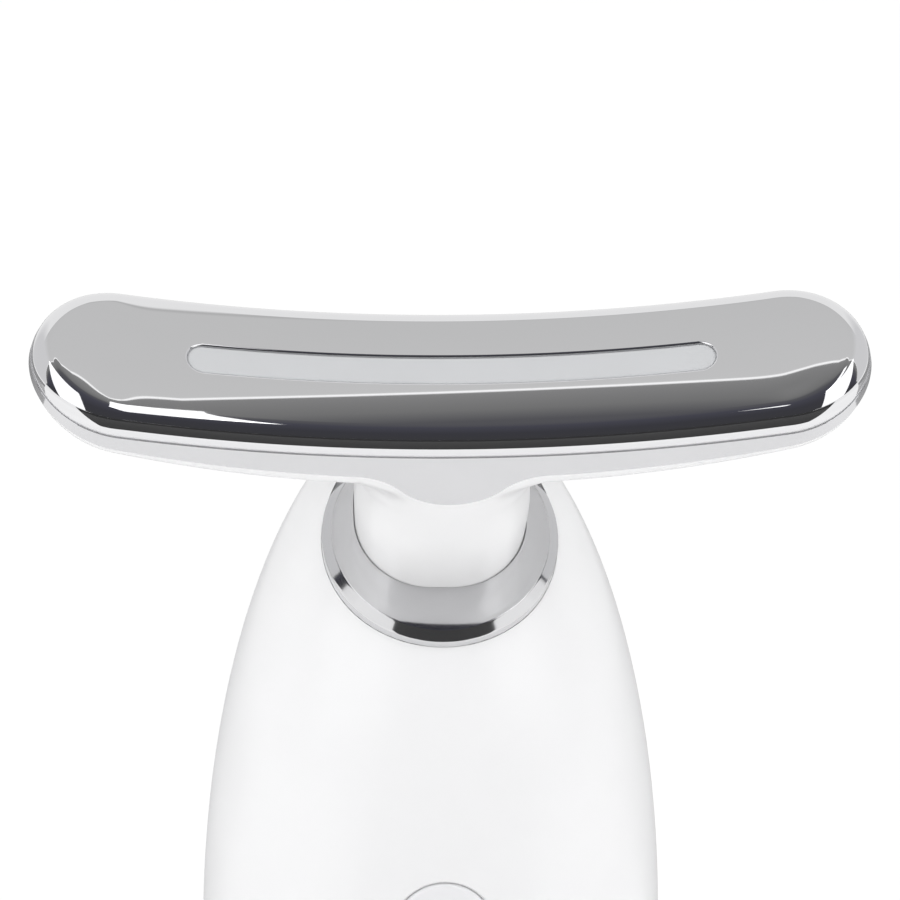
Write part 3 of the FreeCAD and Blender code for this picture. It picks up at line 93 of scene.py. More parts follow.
SHOULDER = (HEAD_HALF - EDGE_ROLL) * CROWN_RADIUS / (CROWN_RADIUS - EDGE_ROLL)
tip_angle = np.arcsin(HEAD_LENGTH / 2 / np.hypot(BEND_RADIUS, HEAD_HALF))
END_ANGLE = tip_angle - np.arctan2(HEAD_HALF, BEND_RADIUS)
SPINE = END_ANGLE * BEND_RADIUS
tip_rise = BEND_RADIUS * (1 - np.cos(END_ANGLE)) + HEAD_HALF * np.sin(END_ANGLE)
arc_rises = (tip_rise + SKIRT_DEPTH - SKIRT_END_DEPTH, tip_rise + BELLY_DEPTH - BELLY_END_DEPTH)
SKIRT_ARC, BELLY_ARC = ((HEAD_LENGTH ** 2 / 4 + rise ** 2) / (2 * rise) for rise in arc_rises)
print("head centre mm", HEAD_CENTRE.round(2), "crown height", round(CROWN, 3))
print("half spine mm", round(SPINE, 2))

# %% [markdown]
# ## The camera
# The photograph was taken from a little above, with a long lens, slightly from the viewer's left.
# The camera is aimed at a point just under the middle of the polished plate.

# %% Camera
CAMERA_RISE, CAMERA_TURN, CAMERA_ROLL = np.radians([11.0, -4.2, 0.5])
CAMERA_REACH, PIXELS_PER_MM, PICTURE = 550.0, 8.97, 900.0
AIM_BELOW, AIM_ASIDE = 8.95, -0.1


def toward(turn, rise):
    """Unit vector by a turn from straight ahead and a rise: (sin cos, -cos cos, sin)."""
    return np.array([np.sin(turn) * np.cos(rise), -np.cos(turn) * np.cos(rise), np.sin(rise)])


def crossed(first, second):
    """Unit vector at right angles to two others."""
    product = np.cross(first, second)
    return product / np.linalg.norm(product)


crown_point = HEAD_CENTRE + HEAD_OUT * CROWN
to_camera = toward(CAMERA_TURN, CAMERA_RISE)
sideways = crossed([0, 0, 1.0], to_camera)
stand = crown_point + to_camera * CAMERA_REACH
aim = crown_point - np.cross(to_camera, sideways) * AIM_BELOW + sideways * AIM_ASIDE
backward = (stand - aim) / np.linalg.norm(stand - aim)
level = crossed([0, 0, 1.0], backward)
upright = np.cross(backward, level)
image_right = np.cos(CAMERA_ROLL) * level + np.sin(CAMERA_ROLL) * upright
image_up = np.cos(CAMERA_ROLL) * upright - np.sin(CAMERA_ROLL) * level
camera_data = bpy.data.cameras.new("portrait_camera")
camera_data.sensor_width = 36.0
camera_data.lens = PIXELS_PER_MM * CAMERA_REACH / PICTURE * camera_data.sensor_width
camera_data.clip_end = 20.0
camera = bpy.data.objects.new("portrait_camera", camera_data)
scene.collection.objects.link(camera)
camera.location = Vector(stand * MM)
camera_axes = np.stack([image_right, image_up, backward], axis=1)
camera.rotation_euler = Matrix(camera_axes.tolist()).to_euler()
scene.camera = camera
print("camera at", [round(c, 4) for c in camera.location], "lens mm", round(camera_data.lens, 1))

# %% [markdown]
# ## From arrays to meshes
# Every skin is a grid of points: rows run along a profile and columns run round the piece. A helper
# joins neighbouring points into four-sided faces, welds points that coincide, turns the faces outwards
# and smooths the shading. A second helper gives a skin its wall, and a third draws a smooth curve
# through a few given values.

# %% Mesh helpers
def quads(rows, columns, closed, start=0):
    """Corner numbers of a rows x columns grid; a closed grid joins its last column to its first."""
    across = columns if closed else columns - 1
    row, column = np.meshgrid(np.arange(rows - 1), np.arange(across), indexing="ij")
    after = (column + 1) % columns
    corners = [row * columns + column, row * columns + after,
               (row + 1) * columns + after, (row + 1) * columns + column]
    return np.stack(corners, axis=-1).reshape(-1, 4) + start


WELD, SLIVER = 2e-6, 1e-7


def skin(name, grids, body, nodes, centre, crease=40.0):
    """One piece from (points, closed) grids in millimetres, welded and turned away from centre."""
    points, faces, count = [], [], 0
    for grid, closed in grids:
        faces.append(quads(grid.shape[0], grid.shape[1], closed, count))
        points.append(grid.reshape(-1, 3))
        count += grid.shape[0] * grid.shape[1]
    mesh = bpy.data.meshes.new(name)
    mesh.from_pydata((np.concatenate(points) * MM).tolist(), [], np.concatenate(faces).tolist())
    work = bmesh.new()
    work.from_mesh(mesh)
    bmesh.ops.remove_doubles(work, verts=work.verts, dist=WELD)
    bmesh.ops.dissolve_degenerate(work, edges=work.edges, dist=SLIVER)
    bmesh.ops.recalc_face_normals(work, faces=work.faces)
    middle = Vector(np.asarray(centre) * MM)
    facing = sum(face.normal.dot(face.calc_center_median() - middle) * face.calc_area()
                 for face in work.faces)
    if facing < 0:
        bmesh.ops.reverse_faces(work, faces=work.faces)
    work.to_mesh(mesh)
    work.free()
    mesh.shade_smooth()
    mesh.set_sharp_from_angle(angle=np.radians(crease))
    piece = bpy.data.objects.new(name, mesh)
    scene.collection.objects.link(piece)
    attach(piece, body)
    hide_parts(*nodes)
    print(name, "points", len(mesh.vertices), "faces", len(mesh.polygons))
    return piece


def walls(piece, thickness):
    """Give a skin an inner wall of that thickness, in millimetres, on its inner side."""
    solid = piece.modifiers.new("wall", "SOLIDIFY")
    solid.thickness = thickness * MM
    solid.offset = -1.0
    solid.use_even_offset = False


def smooth_through(places, values, wanted):
    """Cubic through given values; at each place the slope is the mean of its neighbours' slopes."""
    places, values = np.asarray(places, float), np.asarray(values, float)
    slopes = np.gradient(values, places)
    index = np.clip(np.searchsorted(places, wanted) - 1, 0, len(places) - 2)
    span = places[index + 1] - places[index]
    t = (wanted - places[index]) / span
    start, end = values[index], values[index + 1]
    pull_start, pull_end = slopes[index] * span, slopes[index + 1] * span
    return ((2 * t ** 3 - 3 * t ** 2 + 1) * start + (t ** 3 - 2 * t ** 2 + t) * pull_start
            + (3 * t ** 2 - 2 * t ** 3) * end + (t ** 3 - t ** 2) * pull_end)


# %% [markdown]
# ## The egg-shaped handle
# The real handle is two glossy mouldings that meet along the sides. A sphere squeezed to different
# lengths upwards, downwards, forwards and backwards gives the egg. The front has two round openings,
# one for the button and one for the collar, so it is laid out as two ring-shaped patches: each runs
# from an opening to an outer edge along lines that look straight from the front. This keeps every edge
# crisp, which cutting holes afterwards would not.

# %% Egg helpers
def egg_point(unit):
    """Point of the egg for a unit vector: x, y and z times the half sizes of the side it points to."""
    depth = np.where(unit[..., 1] < 0, EGG_FRONT, EGG_REAR)
    tall = np.where(unit[..., 2] > 0, EGG_RISE, EGG_DROP)
    height = EGG_WIDEST + unit[..., 2] * tall
    return np.stack([unit[..., 0] * EGG_HALF_WIDTH, unit[..., 1] * depth, height], axis=-1)


def unit_point(x, z, side):
    """Unit vector whose egg point has that x and z, on the front (side -1) or the rear (side +1)."""
    across = x / EGG_HALF_WIDTH
    up = (z - EGG_WIDEST) / np.where(z > EGG_WIDEST, EGG_RISE, EGG_DROP)
    return np.stack([across, side * np.sqrt(np.clip(1 - across ** 2 - up ** 2, 0, 1)), up], axis=-1)


HALVINGS = 50


def ring_patch(middle, rim, side, beyond, rows):
    """Egg points along lines that look straight from the front, from an opening's edge to a rim.

    Each line is halved until beyond is zero, which finds the edge; rows lie closer together near the
    rim, where the egg turns away.
    """
    def at(shares):
        flat = middle + shares[..., None] * (rim - middle)
        return egg_point(unit_point(flat[..., 0], flat[..., 1], side))

    low, high = np.zeros(len(rim)), np.ones(len(rim))
    for step in range(HALVINGS):
        half = (low + high) / 2
        outside = beyond(at(half)) > 0
        low, high = np.where(outside, low, half), np.where(outside, half, high)
    spread = 1 - (1 - np.linspace(0, 1, rows)) ** 2
    return at(high + (1 - high) * spread[:, None])


# %% Rounded foot of the egg
# Angles from straight down along the lower arc, fine enough to find where the rounded edge starts.
tau = np.linspace(0.4, 1.5, 4000)
lower_r, lower_z = EGG_HALF_WIDTH * np.sin(tau), EGG_WIDEST - EGG_DROP * np.cos(tau)
slope = np.stack([EGG_DROP * np.sin(tau), -EGG_HALF_WIDTH * np.cos(tau)], axis=-1)
slope /= np.linalg.norm(slope, axis=-1, keepdims=True)
inner_r = lower_r - FOOT_RADIUS * slope[:, 0]
inner_z = lower_z - FOOT_RADIUS * slope[:, 1]
FOOT_R, FOOT_Z, ROLL_R = (np.interp(FOOT_RADIUS, inner_z, values)
                          for values in (lower_r, lower_z, inner_r))
roll_end = np.arctan2(FOOT_Z - FOOT_RADIUS, FOOT_R - ROLL_R)
print("foot starts at z", round(FOOT_Z, 2), "flat half width", round(ROLL_R, 2))


def foot_grid(x_share, side):
    """Edge and sole of one half: the edge turns about an inner circle, the sole closes to y = 0."""
    turns = np.linspace(roll_end, -np.pi / 2, 9)[:, None]
    radius = ROLL_R + FOOT_RADIUS * np.cos(turns)
    height = FOOT_RADIUS + FOOT_RADIUS * np.sin(turns)
    depth = (EGG_FRONT if side < 0 else EGG_REAR) / EGG_HALF_WIDTH
    y_share = side * np.sqrt(np.clip(1 - x_share ** 2, 0, 1))
    edge = np.broadcast_arrays(radius * x_share, radius * y_share * depth, height)
    shrink = np.linspace(1, 0, 8)[1:, None]
    sole = np.broadcast_arrays(ROLL_R * x_share, ROLL_R * y_share * depth * shrink, 0 * shrink)
    return np.concatenate([np.stack(edge, axis=-1), np.stack(sole, axis=-1)])


# %% Front half of the handle
seam_up = (SEAM_Z - EGG_WIDEST) / EGG_RISE
foot_up = (FOOT_Z - EGG_WIDEST) / EGG_DROP


def level_line(up, turns):
    """Unit vectors of the front at one height: a circle of radius sqrt(1 - up squared)."""
    radius = np.sqrt(1 - up ** 2)
    return np.stack([radius * np.cos(turns), -radius * np.sin(turns), 0 * turns + up], axis=-1)


def side_line(angles, sign):
    """Unit vectors of the outline seen from the front, left (sign -1) or right (sign +1)."""
    return np.stack([sign * np.cos(angles), 0 * angles, np.sin(angles)], axis=-1)


def seen_flat(rim):
    """X and z in millimetres of a rim given by unit vectors."""
    return egg_point(rim)[:, [0, 2]]


seam = level_line(seam_up, np.linspace(0, np.pi, 97))
left_side = side_line(np.linspace(np.arcsin(seam_up), np.arcsin(foot_up), 91)[1:], -1)
foot_turn = np.linspace(np.pi, 0, 73)
foot_edge = level_line(foot_up, foot_turn)
right_side = left_side[::-1] * [-1, 1, 1]
lower_rim = np.concatenate([seam, left_side, foot_edge[1:-1], right_side])


def past_button(points):
    """Distance outside the button's hole and its rounded lip, seen from the front."""
    return np.hypot(points[:, 0], points[:, 2] - BUTTON_Z) - BUTTON_HOLE - BUTTON_LIP


lower_front = ring_patch(np.array([0, BUTTON_Z]), seen_flat(lower_rim), -1, past_button, 80)
hole_edge = lower_front[0]
button_angle = np.arctan2(hole_edge[:, 2] - BUTTON_Z, hole_edge[:, 0])


def round_button(radius, y):
    """Points round the button's axis at a radius, with given y."""
    x, z = radius * np.cos(button_angle), BUTTON_Z + radius * np.sin(button_angle)
    return np.stack([x, y, z], axis=-1)


lip_turn = np.linspace(0, np.pi / 2, 5)[::-1, None]
lip_y = hole_edge[:, 1] + BUTTON_LIP * (1 - np.cos(lip_turn))
button_lip = round_button(BUTTON_HOLE + BUTTON_LIP - BUTTON_LIP * np.sin(lip_turn), lip_y)
LEDGE, LEDGE_DROP, WELL_DEPTH = 0.2, 0.3, 3.0
well = [(BUTTON_HOLE - LEDGE, WELL_DEPTH), (BUTTON_HOLE - LEDGE, LEDGE_DROP),
        (BUTTON_HOLE, LEDGE_DROP), (BUTTON_HOLE, 0.0)]
button_well = np.stack([round_button(radius, lip_y[0] + drop) for radius, drop in well])
over_turn = np.linspace(np.arcsin(seam_up), np.pi - np.arcsin(seam_up), 161)[1:-1]
upper_rim = np.concatenate([seam, side_line(over_turn, -1)])


def round_collar(points):
    """Sideways and uphill distance of points from the collar's axis."""
    return (points - COLLAR_BASE) @ SIDEWAYS, (points - COLLAR_BASE) @ COLLAR_UP


def past_collar(points):
    """Distance outside the collar's seat, measured from the collar's axis."""
    return np.hypot(*round_collar(points)) - COLLAR_RADIUS - COLLAR_SEAT


# The collar's axis meets the egg at the larger root of a quadratic, in units of the egg's half sizes.
scale = np.array([EGG_HALF_WIDTH, EGG_FRONT, EGG_RISE])
start, along = (COLLAR_BASE - [0, 0, EGG_WIDEST]) / scale, COLLAR_OUT / scale
a, b, c = along @ along, start @ along, start @ start - 1
reach = (-b + np.sqrt(b * b - a * c)) / a
collar_middle = (start + along * reach) * scale + [0, 0, EGG_WIDEST]
upper_front = ring_patch(collar_middle[[0, 2]], seen_flat(upper_rim), -1, past_collar, 60)
pocket_edge = upper_front[0]
pocket_side, pocket_up = round_collar(pocket_edge)
pocket_foot = COLLAR_BASE + pocket_side[:, None] * SIDEWAYS + pocket_up[:, None] * COLLAR_UP
POCKET_SINK = 0.1
wall_share = np.linspace(-POCKET_SINK, 1, 10)[:, None, None]
pocket_wall = pocket_foot + (pocket_edge - pocket_foot) * wall_share
front_grids = [(button_well, True), (button_lip, True), (lower_front, True), (upper_front, True),
               (pocket_wall, True), (foot_grid(np.cos(foot_turn), -1), False)]
grip_front = skin("grip_front", front_grids, "handle", ["front_shell"],
                  (0, 0, EGG_WIDEST))

# %% Rear half of the handle
outline = np.linspace(np.arcsin(foot_up), np.pi - np.arcsin(foot_up), 321)
rear_rim = np.concatenate([side_line(outline, 1), foot_edge[1:-1] * [1, -1, 1]])


def past_port(points):
    """Distance outside the port's slot and lip, from the slot's straight core, seen along Y."""
    core = np.clip(points[:, 0], -PORT_HALF_FLAT, PORT_HALF_FLAT)
    return np.hypot(points[:, 0] - core, points[:, 2] - PORT_Z) - PORT_HALF_HEIGHT - PORT_LIP


rear_skin = ring_patch(np.array([0, PORT_Z]), seen_flat(rear_rim), 1, past_port, 96)
port_edge = rear_skin[0]
core_x = np.clip(port_edge[:, 0], -PORT_HALF_FLAT, PORT_HALF_FLAT)
port_core = np.stack([core_x, port_edge[:, 1] - PORT_LIP, 0 * core_x + PORT_Z], axis=-1)
inwards = PORT_HALF_HEIGHT / (PORT_HALF_HEIGHT + PORT_LIP)
mouth = port_core + (port_edge - port_core) * [1, 0, 1] * inwards
port_lip = np.stack([mouth + np.array([0, -PORT_DEPTH, 0]), mouth, port_edge])
rear_grids = [(port_lip, True), (rear_skin, True), (foot_grid(np.cos(foot_turn), 1), False)]
grip_rear = skin("grip_rear", rear_grids, "handle", ["rear_shell"],
                 (0, 0, EGG_WIDEST))
walls(grip_rear, SHELL_WALL)

# %% [markdown]
# ## The power button
# The button is a round cap in a hole of the front moulding. Its face follows the egg at the rim and is
# pressed in a little in the middle, so that a thumb finds it. The face is a disc of rings; its depth at
# each point is the deeper of the egg and a large sphere. It rides on its own body and so can be pushed.

# %% Button
button_radius = BUTTON_HOLE - BUTTON_GAP
spin = np.linspace(0, 2 * np.pi, 97)[:-1]
button_front = egg_point(unit_point(np.array(0.0), np.array(BUTTON_Z), -1))[1]
flat_radius = button_radius - BUTTON_ROUND
rounding = BUTTON_ROUND * np.sin(np.linspace(0.2, np.pi / 2, 7))
rings = np.concatenate([np.linspace(0, flat_radius, 30), flat_radius + rounding])
ring_x, ring_z = rings[:, None] * np.cos(spin), BUTTON_Z + rings[:, None] * np.sin(spin)
on_egg = egg_point(unit_point(ring_x, ring_z, -1))[..., 1]
dish = button_front + DISH_SINK - DISH_RADIUS + np.sqrt(DISH_RADIUS ** 2 - rings[:, None] ** 2)
face_y = 0.5 * (on_egg + dish + np.sqrt((on_egg - dish) ** 2 + DISH_BLEND))
past_flat = np.maximum(rings - flat_radius, 0)
rim_drop = BUTTON_ROUND - np.sqrt(np.maximum(BUTTON_ROUND ** 2 - past_flat ** 2, 0))
face = np.stack([ring_x, face_y + rim_drop[:, None], ring_z], axis=-1)
back_y = button_front + BUTTON_THICK
edge_y = face[-1:, :, 1:2]
flank_y = np.linspace(0, 1, 6)[:, None, None] * (back_y - edge_y) + edge_y
flank = face[-1:] * [1, 0, 1] + np.array([0, 1, 0]) * flank_y
back = face[:1] * [1, 0, 1] + np.array([0, back_y, 0])
button_grids = [(face, True), (flank, True), (np.concatenate([flank[-1:], back]), True)]
power_button_cap = skin("power_button_cap", button_grids, "button", ["power_button"],
                        (0, button_front + 2, BUTTON_Z))

# %% [markdown]
# ## Coordinates of the head
# The head is a flat rounded bar bent along its length. Three numbers place any point of it: the length
# along the middle line, the distance across, and the height out of the crease under the plate. Past the
# end of the bent stretch the bar goes on straight, which makes the round ends true half circles.

# %% Head helpers
def flat_place(along, out):
    """Sideways and outward distance from the head's middle: turn by length over bend radius, go
    straight past the spine's end."""
    angle = np.clip(along, -SPINE, SPINE) / BEND_RADIUS
    beyond = along - np.clip(along, -SPINE, SPINE)
    return ((BEND_RADIUS - out) * np.sin(angle) + beyond * np.cos(angle),
            BEND_RADIUS - (BEND_RADIUS - out) * np.cos(angle) + beyond * np.sin(angle))


def head_point(along, across, out):
    """World point of bent coordinates: the flat place and the distance across, tilted and placed."""
    x, z = flat_place(along, out)
    x, across, z = np.broadcast_arrays(x, across, z)
    return HEAD_CENTRE + x[..., None] * SIDEWAYS + across[..., None] * HEAD_UP + z[..., None] * HEAD_OUT


SIDE_STEPS, END_STEPS = 160, 48
run = np.linspace(-1, 1, SIDE_STEPS + 1)[:-1]
half_turn = np.linspace(-np.pi / 2, np.pi / 2, END_STEPS + 1)[:-1]
LOOP_SHARE = np.concatenate([run, 0 * half_turn + 1, -run, 0 * half_turn - 1])
LOOP_TURN = np.concatenate([0 * run - np.pi / 2, half_turn, 0 * run + np.pi / 2, half_turn + np.pi])


def loop_place(offset, spine):
    """Along and across of the closed line at a distance from a spine: flanks, then half circles."""
    return LOOP_SHARE * spine + offset * np.cos(LOOP_TURN), offset * np.sin(LOOP_TURN)


LEVEL_STEPS, STEP_SHARE = 30, 0.9


def depth_to(level, offset, spine):
    """Height out of the crease where the wall at that offset meets level(x), by repeated steps."""
    along, across = loop_place(offset, spine)
    out = np.zeros(np.broadcast(along, across).shape)
    for step in range(LEVEL_STEPS):
        x, z = flat_place(along, out)
        out = out + (level(x) - z) * STEP_SHARE
    return out


def eased_beyond(along, reach):
    """Length past the spine's end; a parabola eases it in over that reach before and after the end."""
    past = np.abs(along) - SPINE
    eased = (past + reach) ** 2 / (4 * reach)
    return np.where(past < -reach, 0.0, np.where(past > reach, past, eased))


END_EASE, SHOULDER_EASE = 6.0, 2.0


def crown_height(along, across):
    """Height of the plate: the crown's circle over the distance from the spine, then the rolled edge.

    Away from the shoulder the distance is eased at the spine's end, so that mirror lines bend softly there.
    """
    distance = np.hypot(across, along - np.clip(along, -SPINE, SPINE))
    ease = np.clip((SHOULDER - distance) / SHOULDER_EASE, 0, 1)
    eased = np.hypot(across, eased_beyond(along, END_EASE))
    distance = distance + (eased - distance) * ease ** 2 * (3 - 2 * ease)
    crown = CROWN - CROWN_RADIUS + np.sqrt(CROWN_RADIUS ** 2 - np.minimum(distance, SHOULDER) ** 2)
    rolled = np.maximum(distance - HEAD_HALF + EDGE_ROLL, 0)
    roll = PLATE_RIM + np.sqrt(np.maximum(EDGE_ROLL ** 2 - rolled ** 2, 0))
    return np.where(distance < SHOULDER, crown, roll)


# %% [markdown]
# ## The polished plate and its window
# The plate is a cast, mirror-polished dome with a long slot. Its skin is one closed strip: it starts
# under the rim, rolls over the edge, runs up the crown and turns down into the slot. The milky window
# lies a hair lower in the slot, so that a fine double line shows round it.

# %% Plate
SLOT_ROUND, PLATE_EDGE, PLATE_SOFT = 0.25, 0.12, 0.03
below_plate = HEAD_CENTRE - HEAD_OUT * 20
slot_spine = BEND_RADIUS * np.arcsin((SLOT_LENGTH - SLOT_WIDTH) / 2 / (BEND_RADIUS - CROWN))
roll_start = np.arccos((SHOULDER - HEAD_HALF + EDGE_ROLL) / EDGE_ROLL)


def band(steps, spine):
    """Rows of world points round a spine, one for each (offset, height out) step."""
    return [head_point(*loop_place(offset, spine), out) for offset, out in steps]


def crown_row(offset, drop):
    """Row round the slot's spine, a little below the crown."""
    along, across = loop_place(offset, slot_spine)
    return head_point(along, across, crown_height(along, across) - drop)


plate_rows = band([(HEAD_HALF - PLATE_WALL, 0.0), (HEAD_HALF - PLATE_EDGE, 0.0),
                   (HEAD_HALF - PLATE_SOFT, PLATE_SOFT), (HEAD_HALF, PLATE_EDGE)], SPINE)
rolls = np.linspace(0, roll_start, 15)
plate_rows += band([(HEAD_HALF - EDGE_ROLL + EDGE_ROLL * np.cos(angle), PLATE_RIM + EDGE_ROLL * np.sin(angle))
                    for angle in rolls], SPINE)
outer_along, outer_across = loop_place(SHOULDER, SPINE)
slot_along, slot_across = loop_place(SLOT_WIDTH / 2 + SLOT_ROUND, slot_spine)
for share in np.linspace(0, 1, 26)[1:]:
    along = outer_along + (slot_along - outer_along) * share
    across = outer_across + (slot_across - outer_across) * share
    plate_rows.append(head_point(along, across, crown_height(along, across)))
for angle in np.linspace(0, np.pi / 2, 5)[1:]:
    plate_rows.append(crown_row(SLOT_WIDTH / 2 + SLOT_ROUND * (1 - np.sin(angle)),
                                SLOT_ROUND * (1 - np.cos(angle))))
plate_rows.append(crown_row(SLOT_WIDTH / 2, PLATE_WALL))
along, across = loop_place(SLOT_WIDTH / 2, slot_spine)
under_along, under_across = loop_place(HEAD_HALF - PLATE_WALL, SPINE)
for share in np.linspace(0, 1, 9)[1:]:
    wide = along + (under_along - along) * share
    deep = across + (under_across - across) * share
    plate_rows.append(head_point(wide, deep, (crown_height(wide, deep) - PLATE_WALL) * (1 - share ** 3)))
polished_plate = skin("polished_plate", [(np.stack(plate_rows), True)], "handle", ["treatment_plate"],
                      below_plate, crease=60.0)

# %% Window
WINDOW_HALF, WINDOW_DROP, WINDOW_ROUND = SLOT_WIDTH / 2 - SLOT_GAP, 0.13, 0.2
# Edge of the window from below: distance outside its half width, and drop under the crown.
window_steps = [(0.0, 1.6), (0.07, 0.4), (0.07, 0.32), (0.0, 0.31), (-0.04, 0.2), (-0.12, 0.15)]
window_rows = [crown_row(WINDOW_HALF + aside, drop) for aside, drop in window_steps]
window_rows += [crown_row(offset, WINDOW_DROP) for offset in np.linspace(WINDOW_HALF - WINDOW_ROUND, 0, 12)]
light_window_cover = skin("light_window_cover", [(np.stack(window_rows), True)], "handle",
                          ["light_window"], below_plate)

# %% [markdown]
# ## Gasket, skirt and chin
# A soft ring seals the plate to a plated skirt. The skirt is a band round the head; its lower edge is
# one long shallow arc, and in front it hangs down over the neck in a rounded chin.

# %% Gasket
SEAL_DEEP, SEAL_BACK, SEAL_FRONT = 1.4, 0.1, 0.04
gasket_rows = band([(HEAD_HALF - SEAL_DEEP, -GASKET), (HEAD_HALF - SEAL_BACK, -GASKET),
                    (HEAD_HALF - SEAL_FRONT, -GASKET / 2), (HEAD_HALF - SEAL_BACK, 0.0),
                    (HEAD_HALF - SEAL_DEEP, 0.0), (HEAD_HALF - SEAL_DEEP, -GASKET)], SPINE)
seal_ring = skin("seal_ring", [(np.stack(gasket_rows), True)], "handle", ["plate_gasket"],
                 HEAD_CENTRE)


# %% Skirt
def arc_below(x, arc, depth):
    """Height of a circle's arc that dips to a depth below the crease: arc - depth - sqrt(arc^2 - x^2)."""
    return arc - depth - np.sqrt(arc ** 2 - x ** 2)


def skirt_level(x):
    """Lower edge of the skirt."""
    return arc_below(x, SKIRT_ARC, SKIRT_DEPTH)


def chin_level(x):
    """Bell of two equal arcs each side: round at the tip, then turning out into the skirt's edge."""
    shoulder = skirt_level(np.array(CHIN_HALF))
    fall = CHIN_DEPTH + shoulder
    radius = (CHIN_HALF ** 2 + fall ** 2) / (4 * fall)
    reach = np.minimum(np.abs(x), CHIN_HALF)
    near = -CHIN_DEPTH + radius - np.sqrt(radius ** 2 - np.minimum(reach, CHIN_HALF / 2) ** 2)
    away = shoulder - radius + np.sqrt(radius ** 2 - np.minimum(CHIN_HALF - reach, CHIN_HALF / 2) ** 2)
    return np.where(reach < CHIN_HALF / 2, near, away)


def skirt_edge(x):
    """Skirt's edge in front, where the chin hangs; elsewhere the plain arc."""
    chin = np.where(np.abs(x) < CHIN_HALF, chin_level(x), skirt_level(x))
    front = LOOP_TURN == -np.pi / 2
    return np.where(front, chin, skirt_level(x))


SKIRT_STAND, SKIRT_WALL, SKIRT_EDGE = 0.1, 1.2, 0.02
skirt_face, skirt_inside = HEAD_HALF + SKIRT_STAND, HEAD_HALF - SKIRT_WALL
skirt_low = depth_to(skirt_edge, skirt_face, SPINE)
skirt_top = -GASKET - SKIRT_EDGE
skirt_rows = band([(skirt_inside, -GASKET), (HEAD_HALF - SEAL_BACK, -GASKET),
                   (skirt_face - SKIRT_EDGE, -GASKET), (skirt_face, skirt_top)], SPINE)
skirt_rows += band([(skirt_face, skirt_top + (skirt_low - skirt_top) * share)
                    for share in np.linspace(0, 1, 20)[1:]], SPINE)
skirt_rows += band([(skirt_inside, skirt_low)], SPINE)
skirt_rows.append(skirt_rows[0])
plated_skirt = skin("plated_skirt", [(np.stack(skirt_rows), True)], "handle", ["head_bezel"],
                    HEAD_CENTRE)

# %% [markdown]
# ## White underside and neck
# Below the skirt the head is a white moulding with a gently curved belly and a softly rounded lower
# edge. The neck grows out of the belly in a flare: its sections are rectangles with very round corners,
# wide where they leave the belly and almost round at the collar.

# %% Underside
def belly_level(x):
    """Belly of the head, rounder than the skirt's edge."""
    return arc_below(x, BELLY_ARC, BELLY_DEPTH)


SKIRT_LAP, LEAST_FLANK = 0.8, 0.3
flank_low = depth_to(belly_level, HEAD_HALF, SPINE) + BELLY_EDGE
flank_high = np.maximum(depth_to(skirt_level, HEAD_HALF, SPINE) + SKIRT_LAP, flank_low + LEAST_FLANK)
belly_rows = band([(HEAD_HALF, flank_high + (flank_low - flank_high) * share)
                   for share in np.linspace(0, 1, 8)], SPINE)
for angle in np.linspace(0, np.pi / 2, 10)[1:]:
    offset = HEAD_HALF - BELLY_EDGE + BELLY_EDGE * np.cos(angle)
    lift = BELLY_EDGE * (1 - np.sin(angle))
    belly_rows += band([(offset, depth_to(belly_level, offset, SPINE) + lift)], SPINE)
belly_rows += band([(offset, depth_to(belly_level, offset, SPINE))
                    for offset in np.linspace(HEAD_HALF - BELLY_EDGE, 0, 14)[1:]], SPINE)

# %% Neck
# Half widths and half depths of the neck at a few depths below the crease, and the rows' own reach.
FLARE_DEPTH = [0.4, 4.5, 7.5, 11.0, 19.0, 27.5]
FLARE_WIDTH = [24.0, 17.5, 12.3, 10.4, 10.06, 9.7]
NECK_DEPTH = [9.84, 9.84, 9.84, 9.84, 9.76, 9.7]
FLARE_FROM, FLARE_TO, NECK_FROM, NECK_TO = 2.5, 12.0, 12.5, 27.0
flat_run = np.linspace(1, -1, 13)[:-1]
quarter = np.linspace(0, np.pi / 2, 17)[:-1]
NECK_TURN = np.concatenate([part for turn in np.pi / 2 * np.arange(4)
                            for part in (quarter + turn, 0 * flat_run + turn + np.pi / 2)])
NECK_SIGN_X = np.concatenate([0 * quarter + 1, flat_run, 0 * quarter - 1, 0 * flat_run - 1,
                              0 * quarter - 1, -flat_run, 0 * quarter + 1, 0 * flat_run + 1])
NECK_SIGN_Y = np.concatenate([0 * quarter + 1, 0 * flat_run + 1, 0 * quarter + 1, flat_run,
                              0 * quarter - 1, 0 * flat_run - 1, 0 * quarter - 1, -flat_run])


def neck_loop(half_width, half_depth, corner):
    """Rectangle with round corners: flats slide from sign to sign, corners turn by a quarter circle."""
    return (NECK_SIGN_X * (half_width - corner) + corner * np.cos(NECK_TURN),
            NECK_SIGN_Y * (half_depth - corner) + corner * np.sin(NECK_TURN))


neck_rows = []
for depth in np.concatenate([np.linspace(FLARE_FROM, FLARE_TO, 36), np.linspace(NECK_FROM, NECK_TO, 16)]):
    half_width = smooth_through(FLARE_DEPTH, FLARE_WIDTH, np.array([depth]))
    half_depth = smooth_through(FLARE_DEPTH, NECK_DEPTH, np.array([depth]))
    x, across = neck_loop(half_width, half_depth, NECK_CORNER)
    neck_rows.append(HEAD_CENTRE + x[:, None] * SIDEWAYS + across[:, None] * HEAD_UP - depth * HEAD_OUT)
head_grids = [(np.stack(belly_rows), True), (np.stack(neck_rows), True)]
head_moulding = skin("head_moulding", head_grids, "handle", ["head_shell"],
                     HEAD_CENTRE - HEAD_OUT * 2)

# %% [markdown]
# ## The plated collar
# The collar is a ring with a flat land, a bevel and a short upright wall, with softened edges between
# them. Its outside is turned about the collar's axis; its bore follows the neck, which leans and sits a
# little higher, so the land is wide below the neck and narrow above it.

